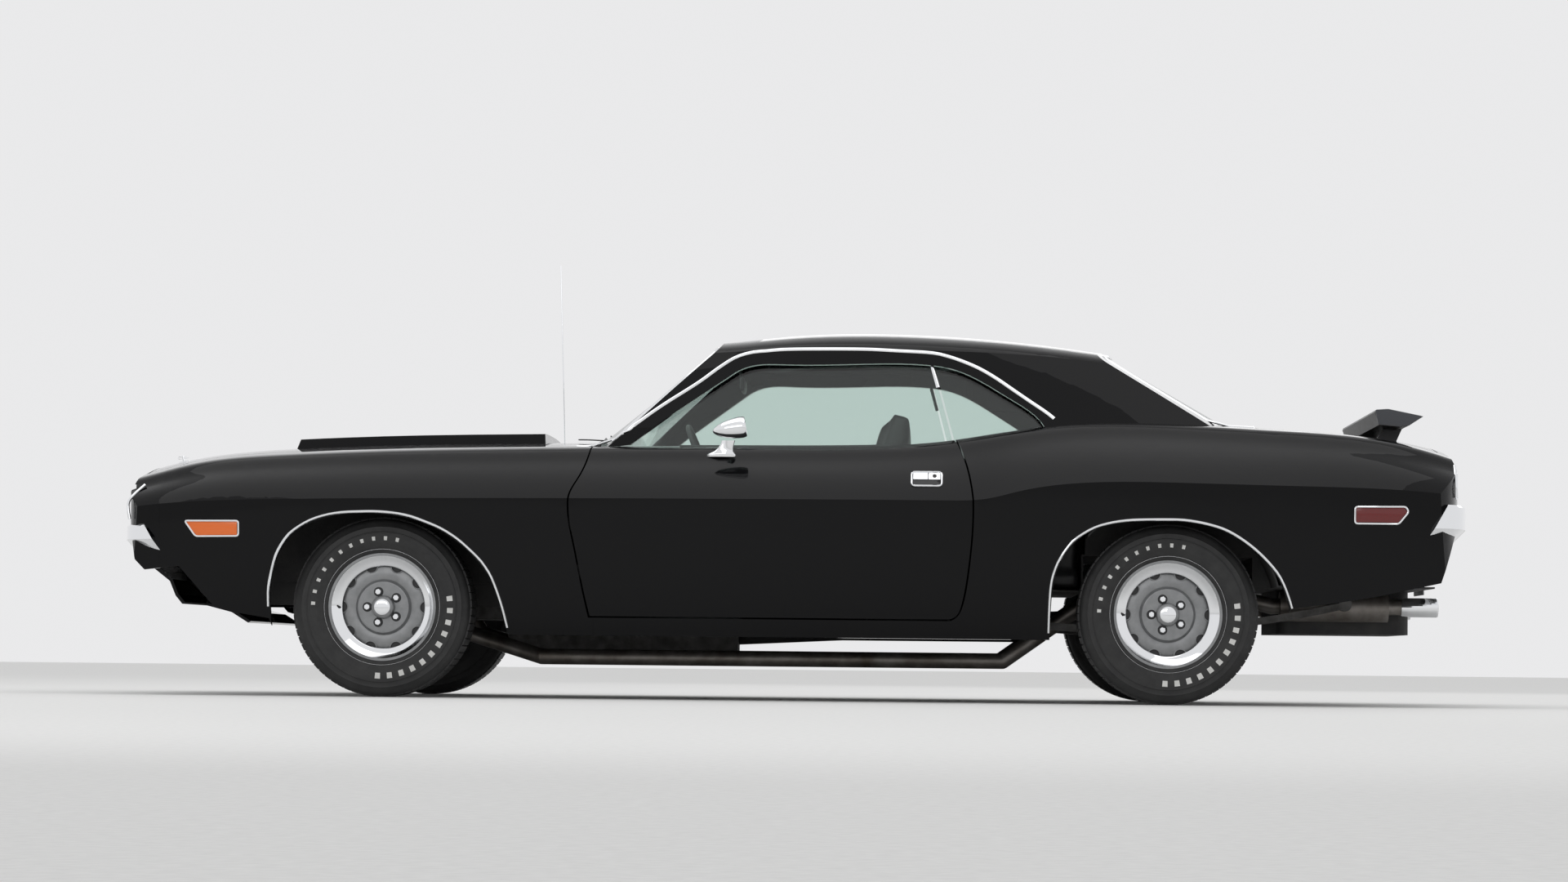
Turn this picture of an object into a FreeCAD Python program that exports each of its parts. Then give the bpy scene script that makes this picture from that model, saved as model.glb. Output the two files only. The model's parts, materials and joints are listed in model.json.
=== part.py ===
import FreeCAD, Part
import math
import os
from FreeCAD import Placement, Rotation, Vector

# Two-door hardtop muscle car: +X is forward, +Y is the car's left, +Z is up.
# The origin is on the ground, at the middle of the overall length.

os.makedirs("parts", exist_ok=True)
doc = FreeCAD.newDocument("muscle_car")

# Driving dimensions in millimetres, kept in the document's sheet.
DIMENSIONS = [
    ("length_overall", 4859), ("width_overall", 1933), ("roof_height", 1352), ("wheelbase", 2794),
    ("axle_middle_share", 0.0247), ("track_front", 1516), ("track_rear", 1542),
    ("tyre_diameter", 640), ("tyre_width", 226), ("tread_width", 176), ("bead_diameter", 376),
    ("rim_width", 178), ("rim_wall", 5), ("rim_flange", 19), ("trim_ring_diameter", 412),
    ("trim_ring_inner_diameter", 292), ("wheel_disc_thickness", 6), ("wheel_disc_offset", 34),
    ("wheel_dish", 16), ("hub_step_diameter", 182), ("hub_step_height", 18), ("cap_diameter", 80),
    ("cap_height", 34), ("slot_width", 30), ("lug_circle_diameter", 114.3), ("lug_diameter", 20),
    ("lug_height", 16), ("drum_diameter", 280), ("drum_width", 60), ("spindle_diameter", 40),
    ("running_clearance", 0.05), ("seat_clearance", 0.3), ("panel_gap", 6), ("hood_front_gap", 8),
    ("panel_wall", 20), ("lid_thickness", 22), ("crown_bulge", 8), ("shoulder_drop", 48),
    ("shoulder_roll", 75), ("shoulder_lip", 8), ("shoulder_rise", 10), ("door_taper", 32),
    ("firewall_thickness", 40), ("cowl_depth", 160), ("cowl_drop", 90), ("sheet_wall", 6),
    ("pillar_wall", 38), ("roof_wall", 26), ("screen_wall", 44), ("glass_thickness", 6),
    ("glass_inset", 12), ("mouth_depth", 150), ("lamp_diameter", 146), ("lamp_depth", 40),
    ("bumper_front_height", 124), ("bumper_rear_height", 155), ("bumper_rake", 70),
    ("bumper_wall", 14), ("bumper_roll", 8), ("bumper_depth", 44), ("rail_width", 70),
    ("rail_height", 90), ("engine_length", 640), ("engine_width", 560), ("engine_height", 520),
    ("gearbox_length", 700), ("gearbox_width", 160), ("axle_tube_diameter", 76),
    ("differential_diameter", 250), ("driveshaft_diameter", 76), ("exhaust_diameter", 57),
    ("tank_length", 480), ("tank_width", 760), ("tank_height", 160), ("spring_width", 64),
    ("spring_thickness", 26), ("seat_width", 540), ("steering_wheel_diameter", 381),
    ("steering_rim", 22), ("glass_bulge", 7), ("glass_corner", 90), ("glass_crown", 14),
    ("tunnel_radius", 130), ("wheelhouse_radius", 400), ("engine_gap", 20),
    ("muffler_diameter", 110), ("muffler_length", 420), ("exhaust_hump_gap", 30), ("tank_gap", 110),
    ("tank_fillet", 40), ("drum_back", 52), ("spindle_reach", 38), ("spring_eye_diameter", 44),
    ("lower_arm_drop", 94), ("upper_arm_rise", 104), ("arm_width", 60), ("arm_thickness", 16),
    ("knuckle_diameter", 44), ("steering_offset", 80), ("marker_depth", 6), ("grille_depth", 105),
    ("dash_fillet", 40), ("steering_tilt", 22), ("column_diameter", 50), ("seat_depth", 520),
    ("seat_back_height", 780), ("seat_fillet", 30), ("rear_seat_height", 540), ("scoop_rise", 34),
    ("scoop_lip", 9), ("scoop_depth", 110), ("wing_stand_width", 26), ("mirror_diameter", 76),
    ("mirror_length", 118), ("hinge_leaf_width", 30), ("hinge_leaf_height", 50),
    ("antenna_diameter", 5),
]
sheet = doc.addObject("Spreadsheet::Sheet", "sizes")
for row, (name, amount) in enumerate(DIMENSIONS, start=1):
    sheet.set("A%d" % row, name)
    sheet.set("B%d" % row, str(amount))
    sheet.setAlias("B%d" % row, name)
doc.recompute()


def size(name):
    return float(getattr(sheet, name))


HALF_LENGTH = size("length_overall") / 2
HALF_WIDTH = size("width_overall") / 2
HEIGHT = size("roof_height")
FRONT_AXLE = size("axle_middle_share") * HALF_LENGTH + size("wheelbase") / 2
REAR_AXLE = FRONT_AXLE - size("wheelbase")
TYRE_RADIUS = size("tyre_diameter") / 2
GAP = size("panel_gap")
SEAT = size("seat_clearance")
WALL = size("panel_wall")

# Places along the car, as shares of half the length ahead of its middle.
X_SHARES = {
    "firewall": 0.3704, "cabin_rear": -0.4322, "nose_seam": 0.9261, "hood_front": 0.9623,
    "deck_front": -0.6866, "deck_rear": -0.9500, "door_hinge": 0.32538, "seat_riser": -0.3128,
    "axle_pan_rear": -0.6791, "radiator_support": 0.8850, "exhaust_tip": -0.9611,
    "spring_rear_eye": -0.8191, "dash_rear": 0.2058, "steering_wheel": 0.1358, "seat_front": 0.1029,
    "rear_seat_front": -0.2305, "mirror": 0.0679, "antenna": 0.3869, "cowl_seam": 0.2881,
}
# Places across it, as shares of half the width.
Y_SHARES = {
    "door_inner": 0.7605, "cabin": 0.7553, "arch_inner": 0.6208, "hood": 0.6643,
    "inlet_inner": 0.0350, "inlet_outer": 0.3000, "deck": 0.6622, "mouth": 0.8277,
    "tail_lamp_inner": 0.1966, "tail_lamp_outer": 0.8277, "seat": 0.3725, "mirror": 0.8981,
    "antenna": 0.7450, "rail_inner": 0.3983, "apron": 0.4863, "exhaust": 0.4553, "spring": 0.5639,
    "wheelhouse_inner": 0.6580, "valance": 0.6400, "dash": 0.7398, "wing": 0.6208,
    "wing_stand": 0.3700,
}
# Heights, as shares of the roof's height.
Z_SHARES = {
    "mouth_low": 0.4408, "bumper_front": 0.3572, "bumper_rear": 0.4157, "mouth_high": 0.5562,
    "rail_low": 0.2441, "apron_high": 0.6169, "floor": 0.1775, "foot": 0.16716, "seat_pan": 0.2959,
    "axle_pan": 0.3920, "trunk_floor": 0.3107, "cross_member": 0.1590, "tail_lamp_low": 0.5510,
    "tail_lamp_high": 0.6139, "dash_low": 0.4734, "dash_high": 0.6509, "steering_wheel": 0.6139,
    "mirror": 0.7130, "hinge_low": 0.3180, "hinge_high": 0.4438, "hood_leaf": 0.6583,
    "deck_leaf": 0.7249, "antenna_tip": 1.2500, "exhaust": 0.1109, "spring_front_eye": 0.2219,
}


def x_of(name):
    return X_SHARES[name] * HALF_LENGTH


def y_of(name):
    return Y_SHARES[name] * HALF_WIDTH


def z_of(name):
    return Z_SHARES[name] * HEIGHT


DOOR_HINGE_X = x_of("door_hinge")

# Body sections from nose to tail, as shares of half the length (along), the height
# (crease, shoulder, top) and half the width (crease, shoulder, foot).
STATION_SHARES = [
    (1.013, 0.482, 0.553, 0.592, 0.867, 0.786, 0.819),
    (0.959, 0.496, 0.577, 0.626, 0.924, 0.809, 0.867),
    (0.885, 0.508, 0.611, 0.654, 0.957, 0.825, 0.890),
    (0.761, 0.516, 0.635, 0.675, 0.979, 0.834, 0.898),
    (0.600, 0.521, 0.649, 0.688, 0.988, 0.836, 0.900),
    (0.412, 0.524, 0.658, 0.695, 0.991, 0.834, 0.902),
    (0.247, 0.526, 0.664, 0.699, 0.994, 0.830, 0.903),
    (0.062, 0.527, 0.667, 0.703, 0.996, 0.827, 0.904),
    (-0.123, 0.528, 0.672, 0.706, 0.997, 0.825, 0.905),
    (-0.231, 0.528, 0.688, 0.714, 0.998, 0.817, 0.905),
    (-0.284, 0.533, 0.704, 0.725, 0.998, 0.810, 0.906),
    (-0.333, 0.554, 0.719, 0.740, 0.999, 0.802, 0.906),
    (-0.383, 0.570, 0.732, 0.751, 0.999, 0.794, 0.907),
    (-0.465, 0.580, 0.740, 0.758, 0.999, 0.787, 0.908),
    (-0.576, 0.579, 0.736, 0.762, 0.998, 0.790, 0.911),
    (-0.720, 0.574, 0.723, 0.747, 0.991, 0.802, 0.908),
    (-0.864, 0.568, 0.700, 0.729, 0.973, 0.812, 0.898),
    (-0.947, 0.558, 0.665, 0.706, 0.947, 0.802, 0.882),
    (-1.013, 0.544, 0.624, 0.666, 0.911, 0.771, 0.864),
]
# Side profile of nose and tail, with their undersides (along, height).
NOSE_PROFILE_SHARES = [
    (0.757, 0.167), (0.764, 0.204), (0.812, 0.218), (0.845, 0.234), (0.897, 0.339),
    (0.949, 0.329), (0.964, 0.356), (0.973, 0.444), (0.9775, 0.5), (0.976, 0.54),
    (0.968, 0.5815), (0.968, 0.8),
]
TAIL_PROFILE_SHARES = [
    (-0.961, 0.8), (-0.966, 0.66), (-0.977, 0.597), (-0.983, 0.54), (-0.983, 0.518),
    (-0.965, 0.433), (-0.945, 0.325), (-0.857, 0.290), (-0.822, 0.279), (-0.775, 0.266),
    (-0.727, 0.254), (-0.715, 0.16),
]
# Lower edge of the panel under the front bumper (along, height).
VALANCE_SHARES = [(0.9640, 0.3500), (0.9490, 0.3290), (0.9305, 0.3030), (0.9215, 0.2640), (0.9113, 0.2420),
                  (0.8740, 0.2380), (0.8370, 0.2210), (0.8120, 0.1930)]
# Plan outlines of nose and tail: control points (along, across).
NOSE_PLAN_SHARES = [
    (0.86, 1.06), (0.955, 0.975), (0.985, 0.86), (0.984, 0.5), (0.986, 0.0),
]
TAIL_PLAN_SHARES = [
    (-0.88, 1.06), (-0.945, 0.965), (-0.978, 0.86), (-0.984, 0.5), (-0.986, 0.0),
]
DOOR_FRONT_SHARES = [
    (0.294, 0.72), (0.299, 0.641), (0.310, 0.584), (0.323, 0.533), (0.324, 0.504),
    (0.322, 0.462), (0.317, 0.419), (0.305, 0.312), (0.293, 0.218),
]
DOOR_REAR_SHARES = [
    (-0.235, 0.218), (-0.247, 0.228), (-0.254, 0.259), (-0.261, 0.343), (-0.266, 0.471),
    (-0.266, 0.514), (-0.263, 0.599), (-0.254, 0.674), (-0.243, 0.72),
]
SIDE_GLASS_SHARES = [
    (0.252, 0.658), (0.184, 0.753), (0.088, 0.874), (0.064, 0.892), (0.016, 0.896),
    (-0.091, 0.898), (-0.198, 0.897), (-0.231, 0.888), (-0.272, 0.858), (-0.321, 0.805),
    (-0.364, 0.747), (-0.373, 0.721),
]
# Wheel openings about each axle, as shares of the tyre's radius.
FRONT_ARCH_SHARES = [
    (1.21, 0.56), (1.23, 1.06), (1.17, 1.49), (0.96, 1.81), (0.57, 1.99), (0.06, 2.03),
    (-0.49, 1.93), (-0.93, 1.67), (-1.23, 1.31), (-1.37, 0.91), (-1.44, 0.56),
]
REAR_ARCH_SHARES = [
    (1.32, 0.56), (1.30, 1.03), (1.19, 1.58), (0.90, 1.89), (0.47, 2.01), (0.05, 2.02),
    (-0.38, 1.99), (-0.82, 1.79), (-1.15, 1.48), (-1.32, 1.09), (-1.36, 0.56),
]
FRONT_MARKER_SHARES = [(0.887, 0.455), (0.810, 0.4555), (0.810, 0.4215), (0.8705, 0.420)]
REAR_MARKER_SHARES = [(-0.8195, 0.5185), (-0.890, 0.520), (-0.894, 0.5095), (-0.881, 0.4815),
                      (-0.8195, 0.481)]
# Foot and top of the hood's raised middle (along, across), taken at heights 0.6 and 0.8.
SCOOP_FOOT_SHARES = [(0.775, 0.36), (0.775, -0.36), (0.377, -0.40), (0.377, 0.40)]
SCOOP_TOP_SHARES = [(0.735, 0.29), (0.735, -0.29), (0.385, -0.33), (0.385, 0.33)]
WING_SHARES = [(-0.8605, 0.784), (-0.8625, 0.790), (-0.882, 0.7922), (-0.9325, 0.7735),
               (-0.912, 0.7495), (-0.900, 0.7450), (-0.867, 0.7500)]
WING_STAND_SHARES = [(-0.8845, 0.750), (-0.9115, 0.752), (-0.8960, 0.690), (-0.8600, 0.690)]
# Greenhouse sections (along, drip height, roof height, belt width, drip width).
ROOF_SHARES = [
    (0.420, 0.900, 0.940, 0.755, 0.545),
    (0.250, 0.915, 0.955, 0.795, 0.588),
    (0.090, 0.931, 0.975, 0.815, 0.632),
    (0.000, 0.9395, 0.9925, 0.823, 0.652),
    (-0.103, 0.9415, 1.000, 0.824, 0.662),
    (-0.230, 0.936, 0.994, 0.818, 0.660),
    (-0.360, 0.926, 0.974, 0.805, 0.648),
    (-0.480, 0.905, 0.945, 0.785, 0.632),
    (-0.720, 0.860, 0.890, 0.745, 0.600),
]


def at(along, height, across=0.0):
    return Vector(along * HALF_LENGTH, across * HALF_WIDTH, height * HEIGHT)


def box(x_from, x_to, y_from, y_to, z_from, z_to):
    corner = Vector(min(x_from, x_to), min(y_from, y_to), min(z_from, z_to))
    return Part.makeBox(abs(x_to - x_from), abs(y_to - y_from), abs(z_to - z_from), corner)


def rod(start, end, radius):
    run = end - start
    return Part.makeCylinder(radius, run.Length, start, run)


def mirrored(shape):
    return shape.mirror(Vector(), Vector(0, 1, 0))


def both_sides(shape):
    return shape.fuse(mirrored(shape))


def control_curve(points):
    """A clamped cubic curve that follows a control polygon."""
    curve = Part.BSplineCurve()
    spans = len(points) - 3
    curve.buildFromPolesMultsKnots(points, [4] + [1] * (spans - 1) + [4],
                                   list(range(spans + 1)), False, 3)
    return curve.toShape()


def through_curve(points):
    curve = Part.BSplineCurve()
    curve.interpolate(points)
    return curve.toShape()


def lines(points):
    return [Part.makeLine(a, b) for a, b in zip(points, points[1:])]


def prism(edges, run):
    return Part.Face(Part.Wire(Part.__sortEdges__(edges))).extrude(run)


def skin(rows, degree):
    """One smooth face through rows of control points, rows running nose to tail."""
    first, last = rows[0][0].x, rows[-1][0].x
    places = [(row[0].x - first) / (last - first) for row in rows]
    guides = []
    for column in range(len(rows[0])):
        guide = Part.BSplineCurve()
        guide.interpolate(Points=[row[column] for row in rows], Parameters=places)
        guides.append(guide)
    poles = [[g.getPole(i + 1) for g in guides] for i in range(guides[0].NbPoles)]
    spans = len(rows[0]) - degree
    multiplicities = [degree + 1] + [1] * (spans - 1) + [degree + 1]
    surface = Part.BSplineSurface()
    surface.buildFromPolesMultsKnots(poles, guides[0].getMultiplicities(), multiplicities,
                                     guides[0].getKnots(), list(range(spans + 1)),
                                     False, False, 3, degree)
    return surface.toShape()


def flat_foot(left, right):
    """A flat face between the lowest edges of two mirrored sides."""
    low = []
    for side in (left, right):
        floor_z = min(e.BoundBox.ZMin for e in side.Edges)
        low.append([e for e in side.Edges if e.BoundBox.ZMax < floor_z + SEAT][0])
    ends = [[v.Point for v in sorted(e.Vertexes, key=lambda v: v.X)] for e in low]
    links = [Part.makeLine(ends[0][i], ends[1][i]) for i in (0, 1)]
    return Part.Face(Part.Wire(Part.__sortEdges__(low + links)))


def closed_solid(faces, ends):
    """Caps a tube of faces with flat ends at the given places along X and closes it."""
    caps = []
    for end in ends:
        rim = [e for f in faces for e in f.Edges
               if e.BoundBox.XLength < SEAT and abs(e.BoundBox.XMin - end) < SEAT]
        caps.append(Part.Face(Part.Wire(Part.__sortEdges__(rim))))
    shell = Part.makeShell([f.Faces[0] for f in faces + caps])
    shell.sewShape()
    return Part.makeSolid(shell)


def lower_body(inset):
    """Everything below the glass: foot, sides to the crease, shoulders and decks."""
    foot = z_of("foot")
    bulge = size("crown_bulge")
    low_rows, top_rows = [], []
    for along, z_crease, z_shoulder, z_top, y_crease, y_shoulder, y_foot in STATION_SHARES:
        x = along * HALF_LENGTH
        zc, zs, zt = (share * HEIGHT - inset for share in (z_crease, z_shoulder, z_top))
        yc, ys, yf = (share * HALF_WIDTH - inset for share in (y_crease, y_shoulder, y_foot))
        low = [(yf, foot), (yf + 0.55 * (yc - yf), foot + 0.22 * (zc - foot)),
               (yc - 0.1 * (yc - yf), foot + 0.62 * (zc - foot)), (yc, zc)]
        top = [(yc, zc), (yc - 0.38 * (yc - ys) + bulge, zc + 0.38 * (zs - zc) + bulge),
               (ys + size("shoulder_drop") * 0.46, zs - size("shoulder_drop")),
               (ys - size("shoulder_lip"), zs + size("shoulder_rise") * 0.2),
               (ys - size("shoulder_roll"), zs + size("shoulder_rise")), (0.45 * ys, zt), (0, zt)]
        top += [(-y, z) for y, z in top[-2::-1]]
        low_rows.append([Vector(x, y, z) for y, z in low])
        top_rows.append([Vector(x, y, z) for y, z in top])
    left = skin(low_rows, 3)
    right = mirrored(left)
    faces = [left, right, skin(top_rows, 3), flat_foot(left, right)]
    return closed_solid(faces, (low_rows[0][0].x, low_rows[-1][0].x))


def end_blocks(inset):
    """The space between the plan outlines and within the side profile."""
    over = HALF_WIDTH * 1.1
    nose = [at(a, 0, w) - Vector(inset, 0, 0) for a, w in NOSE_PLAN_SHARES]
    tail = [at(a, 0, w) + Vector(inset, 0, 0) for a, w in TAIL_PLAN_SHARES]
    nose += [Vector(p.x, -p.y, 0) for p in nose[-2::-1]]
    tail += [Vector(p.x, -p.y, 0) for p in tail[-2::-1]]
    plan = prism([control_curve(nose), control_curve(tail),
                  Part.makeLine(nose[0], tail[0]), Part.makeLine(nose[-1], tail[-1])],
                 Vector(0, 0, HEIGHT))
    front = [at(a, z) - Vector(inset, 0, 0) for a, z in NOSE_PROFILE_SHARES]
    rear = [at(a, z) + Vector(inset, 0, 0) for a, z in TAIL_PROFILE_SHARES]
    if inset > 0:
        front = [Vector(front[6].x, 0, 0)] + front[6:]
        rear = rear[:-5] + [Vector(rear[-6].x, 0, 0)]
    loop = [p - Vector(0, over, 0) for p in front + rear]
    side = prism(lines(loop + loop[:1]), Vector(0, 2 * over, 0))
    return plan.common(side)


def outline_prism(edges, y_from, y_to):
    """Extrudes an outline drawn on the centre plane across the car."""
    return prism([e.translated(Vector(0, y_from, 0)) for e in edges], Vector(0, y_to - y_from, 0))


def arch(shares, axle, grow=0.0):
    points = [Vector(axle + a * (TYRE_RADIUS + grow), 0, z * (TYRE_RADIUS + grow)) for a, z in shares]
    edge = through_curve(points)
    low_front, low_rear = (Vector(p.x, 0, 0) for p in (points[0], points[-1]))
    edges = [edge] + lines([points[-1], low_rear, low_front, points[0]])
    return outline_prism(edges, y_of("arch_inner"), HALF_WIDTH * 1.1)


def door_block(grow):
    """Tapered block of a door opening: its rear edge leans so that the door swings clear."""
    def section(y, taper):
        front = [at(a, z) + Vector(grow, y, 0) for a, z in DOOR_FRONT_SHARES]
        rear = [at(a, z) + Vector(taper - grow, y, 0) for a, z in DOOR_REAR_SHARES]
        front[-1].z -= grow
        rear[0].z -= grow
        return Part.Wire([through_curve(front), Part.makeLine(front[-1], rear[0]),
                          through_curve(rear), Part.makeLine(rear[-1], front[0])])
    inner_y = y_of("door_inner") - grow
    outer = section(HALF_WIDTH * 1.04, 0.0)
    inner = section(inner_y, size("door_taper"))
    return Part.makeLoft([inner, outer], True, True)


def greenhouse(inset_side, inset_top, inset_screen):
    """Roof, side glass planes, windshield and backlight as one solid, smaller by the insets."""
    base = HEIGHT * 0.62
    side_rows, roof_rows = [], []
    for along, z_drip, z_roof, y_belt, y_drip in ROOF_SHARES:
        x = along * HALF_LENGTH
        zd, zr = z_drip * HEIGHT - inset_top, z_roof * HEIGHT - inset_top
        yb, yd = y_belt * HALF_WIDTH - inset_side, y_drip * HALF_WIDTH - inset_side
        z_belt = HEIGHT * 0.67
        lean = (yb - yd) / (zd - z_belt)
        y_base = yb + lean * (z_belt - base)
        y_bulge = yd + 0.4 * (yb - yd) + size("glass_bulge")
        side = [(y_base, base), (yb, z_belt), (y_bulge, z_belt + 0.6 * (zd - z_belt)), (yd, zd)]
        roof = [(yd, zd), (yd - 0.05 * yd, zd + 0.5 * (zr - zd)), (0.74 * yd, zd + 0.86 * (zr - zd)),
                (0.4 * yd, zr), (0, zr)]
        roof += [(-y, z) for y, z in roof[-2::-1]]
        side_rows.append([Vector(x, y, z) for y, z in side])
        roof_rows.append([Vector(x, y, z) for y, z in roof])
    left = skin(side_rows, 3)
    right = mirrored(left)
    faces = [left, right, skin(roof_rows, 3), flat_foot(left, right)]
    tube = closed_solid(faces, (side_rows[0][0].x, side_rows[-1][0].x))
    screen = screen_block(SCREEN_SHARES, -inset_screen, -1)
    back = screen_block(BACKLIGHT_SHARES, inset_screen, 1)
    return tube.common(screen).common(back)


# Windshield and backlight: place of the middle and of the edge at width 0.75, low and high.
SCREEN_SHARES = [(0.62, 0.3620, 0.3050), (1.10, 0.0280, -0.0020)]
BACKLIGHT_SHARES = [(0.62, -0.7960, -0.7180), (1.10, -0.3280, -0.2500)]


def screen_block(shares, shift, way):
    """The space behind (way -1) or ahead (way 1) of a curved and sloping pane."""
    half = 0.75 * HALF_WIDTH
    arcs = []
    for z, middle, edge in shares:
        m = Vector(middle * HALF_LENGTH + shift, 0, z * HEIGHT)
        sag = (middle - edge) * HALF_LENGTH
        wide = HALF_WIDTH * 1.1
        drop = sag * (wide / half) ** 2
        arcs.append(Part.Arc(Vector(m.x - drop, wide, m.z), m, Vector(m.x - drop, -wide, m.z)).toShape())
    face = Part.makeRuledSurface(arcs[0], arcs[1])
    return face.extrude(Vector(way * HALF_LENGTH * 1.6, 0, 0))


sub_parts = {}


def keep(label, shape):
    """Stores one sub-part as an object of the document."""
    thing = doc.addObject("Part::Feature", label)
    thing.Label = label
    thing.Shape = shape
    sub_parts[label] = thing


# Body volumes that the panels are cut from.
full_body = lower_body(0).common(end_blocks(0))
inner_body = lower_body(WALL).common(end_blocks(WALL))
loose_body = lower_body(WALL + SEAT).common(end_blocks(WALL + SEAT))
far = HALF_LENGTH * 1.1
wide = HALF_WIDTH * 1.1

firewall = x_of("firewall")
cabin_rear = x_of("cabin_rear")
cabin_half = y_of("cabin")
front_space = inner_body.common(box(firewall, far, -wide, wide, 0, HEIGHT))
rear_space = inner_body.common(box(-far, cabin_rear, -wide, wide, 0, HEIGHT))
cabin_front = firewall - size("firewall_thickness")
cowl_back = firewall - size("cowl_depth") - size("firewall_thickness")
cabin_space = box(cabin_rear, cowl_back, -cabin_half, cabin_half, 0, HEIGHT)
foot_space = box(cowl_back, cabin_front, -cabin_half, cabin_half, 0, HEIGHT * 0.7 - size("cowl_drop"))
arches = arch(FRONT_ARCH_SHARES, FRONT_AXLE).fuse(arch(REAR_ARCH_SHARES, REAR_AXLE))
body = full_body.cut([front_space, rear_space, cabin_space.fuse(foot_space), both_sides(arches)])

# Doors: the whole thickness of the wall.
door_left = full_body.common(door_block(0.0))
body = body.cut(both_sides(door_block(GAP)))

# Hood and deck lid: the skin of the body, one lid thick.
under = full_body.translated(Vector(0, 0, -size("lid_thickness")))
hood_rear, hood_front = firewall + GAP, x_of("hood_front")
hood_half = y_of("hood")
hood = full_body.common(box(hood_rear, hood_front, -hood_half, hood_half, 0, HEIGHT)).cut(under)
deck_rear, deck_front, deck_half = x_of("deck_rear"), x_of("deck_front"), y_of("deck")
deck = full_body.common(box(deck_rear, deck_front, -deck_half, deck_half, 0, HEIGHT)).cut(under)
front_gap = size("hood_front_gap")
body = body.cut(box(hood_rear - GAP, hood_front + front_gap, -hood_half - GAP, hood_half + GAP,
                    HEIGHT * 0.55, HEIGHT))
body = body.cut(box(deck_rear - GAP, deck_front + GAP, -deck_half - GAP, deck_half + GAP,
                    HEIGHT * 0.6, HEIGHT))

# Front mouth for grille and lamps, cut through nose.
mouth_half = y_of("mouth")
mouth = box(HALF_LENGTH - size("mouth_depth") * 1.6, far, -mouth_half, mouth_half,
            z_of("mouth_low"), z_of("mouth_high"))

# Front fenders: from the door's front edge to the nose seam, outside the hood.
fence_edge = [at(a, z) + Vector(GAP, 0, 0) for a, z in DOOR_FRONT_SHARES[1:]]
seam = x_of("nose_seam")
step = Vector(fence_edge[0].x + size("cowl_depth") * 0.3, 0, fence_edge[0].z)
fence_loop = [fence_edge[0], step, Vector(step.x, 0, HEIGHT), Vector(seam, 0, HEIGHT),
              Vector(seam, 0, 0), Vector(fence_edge[-1].x, 0, 0), fence_edge[-1]]


def fender_block(grow):
    edges = [through_curve(fence_edge)] + lines(fence_loop)
    block = outline_prism(edges, hood_half + GAP - grow, wide)
    return block


post_zone = box(-far, firewall, 0, wide, 0, HEIGHT)
fender_left = body.common(fender_block(0.0)).cut(inner_body.common(post_zone))
nose_block = box(seam + SEAT, far, -wide, wide, 0, HEIGHT)
nose = body.common(nose_block).cut(mouth)
valance_line = [at(a, z) for a, z in VALANCE_SHARES]
valance_back = [p + Vector(-WALL / 2, 0, size("sheet_wall")) for p in valance_line[::-1]]
valance = outline_prism(lines(valance_line + valance_back + valance_line[:1]), 0, y_of("valance"))
nose = nose.fuse(both_sides(valance)).removeSplitter()
fender_space = fender_block(SEAT)
post_core = body.common(fender_space).common(loose_body.common(post_zone))
shell = body.cut([both_sides(fender_space), box(firewall - SEAT, far, -wide, wide, 0, HEIGHT)])
shell = shell.fuse(both_sides(post_core)).cut(box(firewall - SEAT, far, -wide, wide, 0, HEIGHT))
shell = shell.removeSplitter()

# Greenhouse: roof, pillars and sail panels round the glass openings.
glass_solid = greenhouse(0.0, 0.0, 0.0)
glass_inner = greenhouse(size("pillar_wall"), size("roof_wall"), size("screen_wall"))
upper = glass_solid.cut(glass_inner)


def side_opening(inset):
    points = [at(a, z) for a, z in SIDE_GLASS_SHARES]
    middle = Vector((points[0].x + points[-1].x) / 2, 0, HEIGHT * 0.8)
    points = [p + (middle - p).normalize() * inset for p in points]
    low = HEIGHT * 0.6
    edges = lines(points[:3]) + [through_curve(points[2:])]
    edges += lines([points[-1], Vector(points[-1].x, 0, low), Vector(points[0].x, 0, low), points[0]])
    return outline_prism(edges, y_of("arch_inner") * 0.8, wide)


# Glass openings of windshield and backlight: from and to (along), low and high (height),
# and the half width (across) at both heights.
SCREEN_HOLE_SHARES = (0.0412, 0.4116, 0.6657, 0.9438, 0.7294, 0.5898)
BACK_HOLE_SHARES = (-0.7203, -0.3704, 0.7396, 0.9334, 0.6208, 0.5380)


def screen_opening(shares, inset):
    """Outline in the front view with rounded upper corners and a crowned head."""
    x_from, x_to = shares[0] * HALF_LENGTH, shares[1] * HALF_LENGTH
    low, high = shares[2] * HEIGHT + inset, shares[3] * HEIGHT - inset
    start = Vector(x_from, shares[4] * HALF_WIDTH - inset, low)
    end = Vector(x_from, shares[5] * HALF_WIDTH - inset, high)
    corner = size("glass_corner")
    crown = size("glass_crown")
    rise = (end - start).normalize()
    bend = [end - rise * corner, end, end - Vector(0, corner, 0),
            Vector(x_from, end.y * 0.5, high + crown), Vector(x_from, 0, high + crown)]
    bend += [Vector(p.x, -p.y, p.z) for p in bend[-2::-1]]
    head = control_curve(bend)
    start_right = Vector(x_from, -start.y, low)
    edges = [Part.makeLine(start, bend[0]), head, Part.makeLine(bend[-1], start_right),
             Part.makeLine(start_right, start)]
    return prism(edges, Vector(x_to - x_from, 0, 0))


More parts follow.
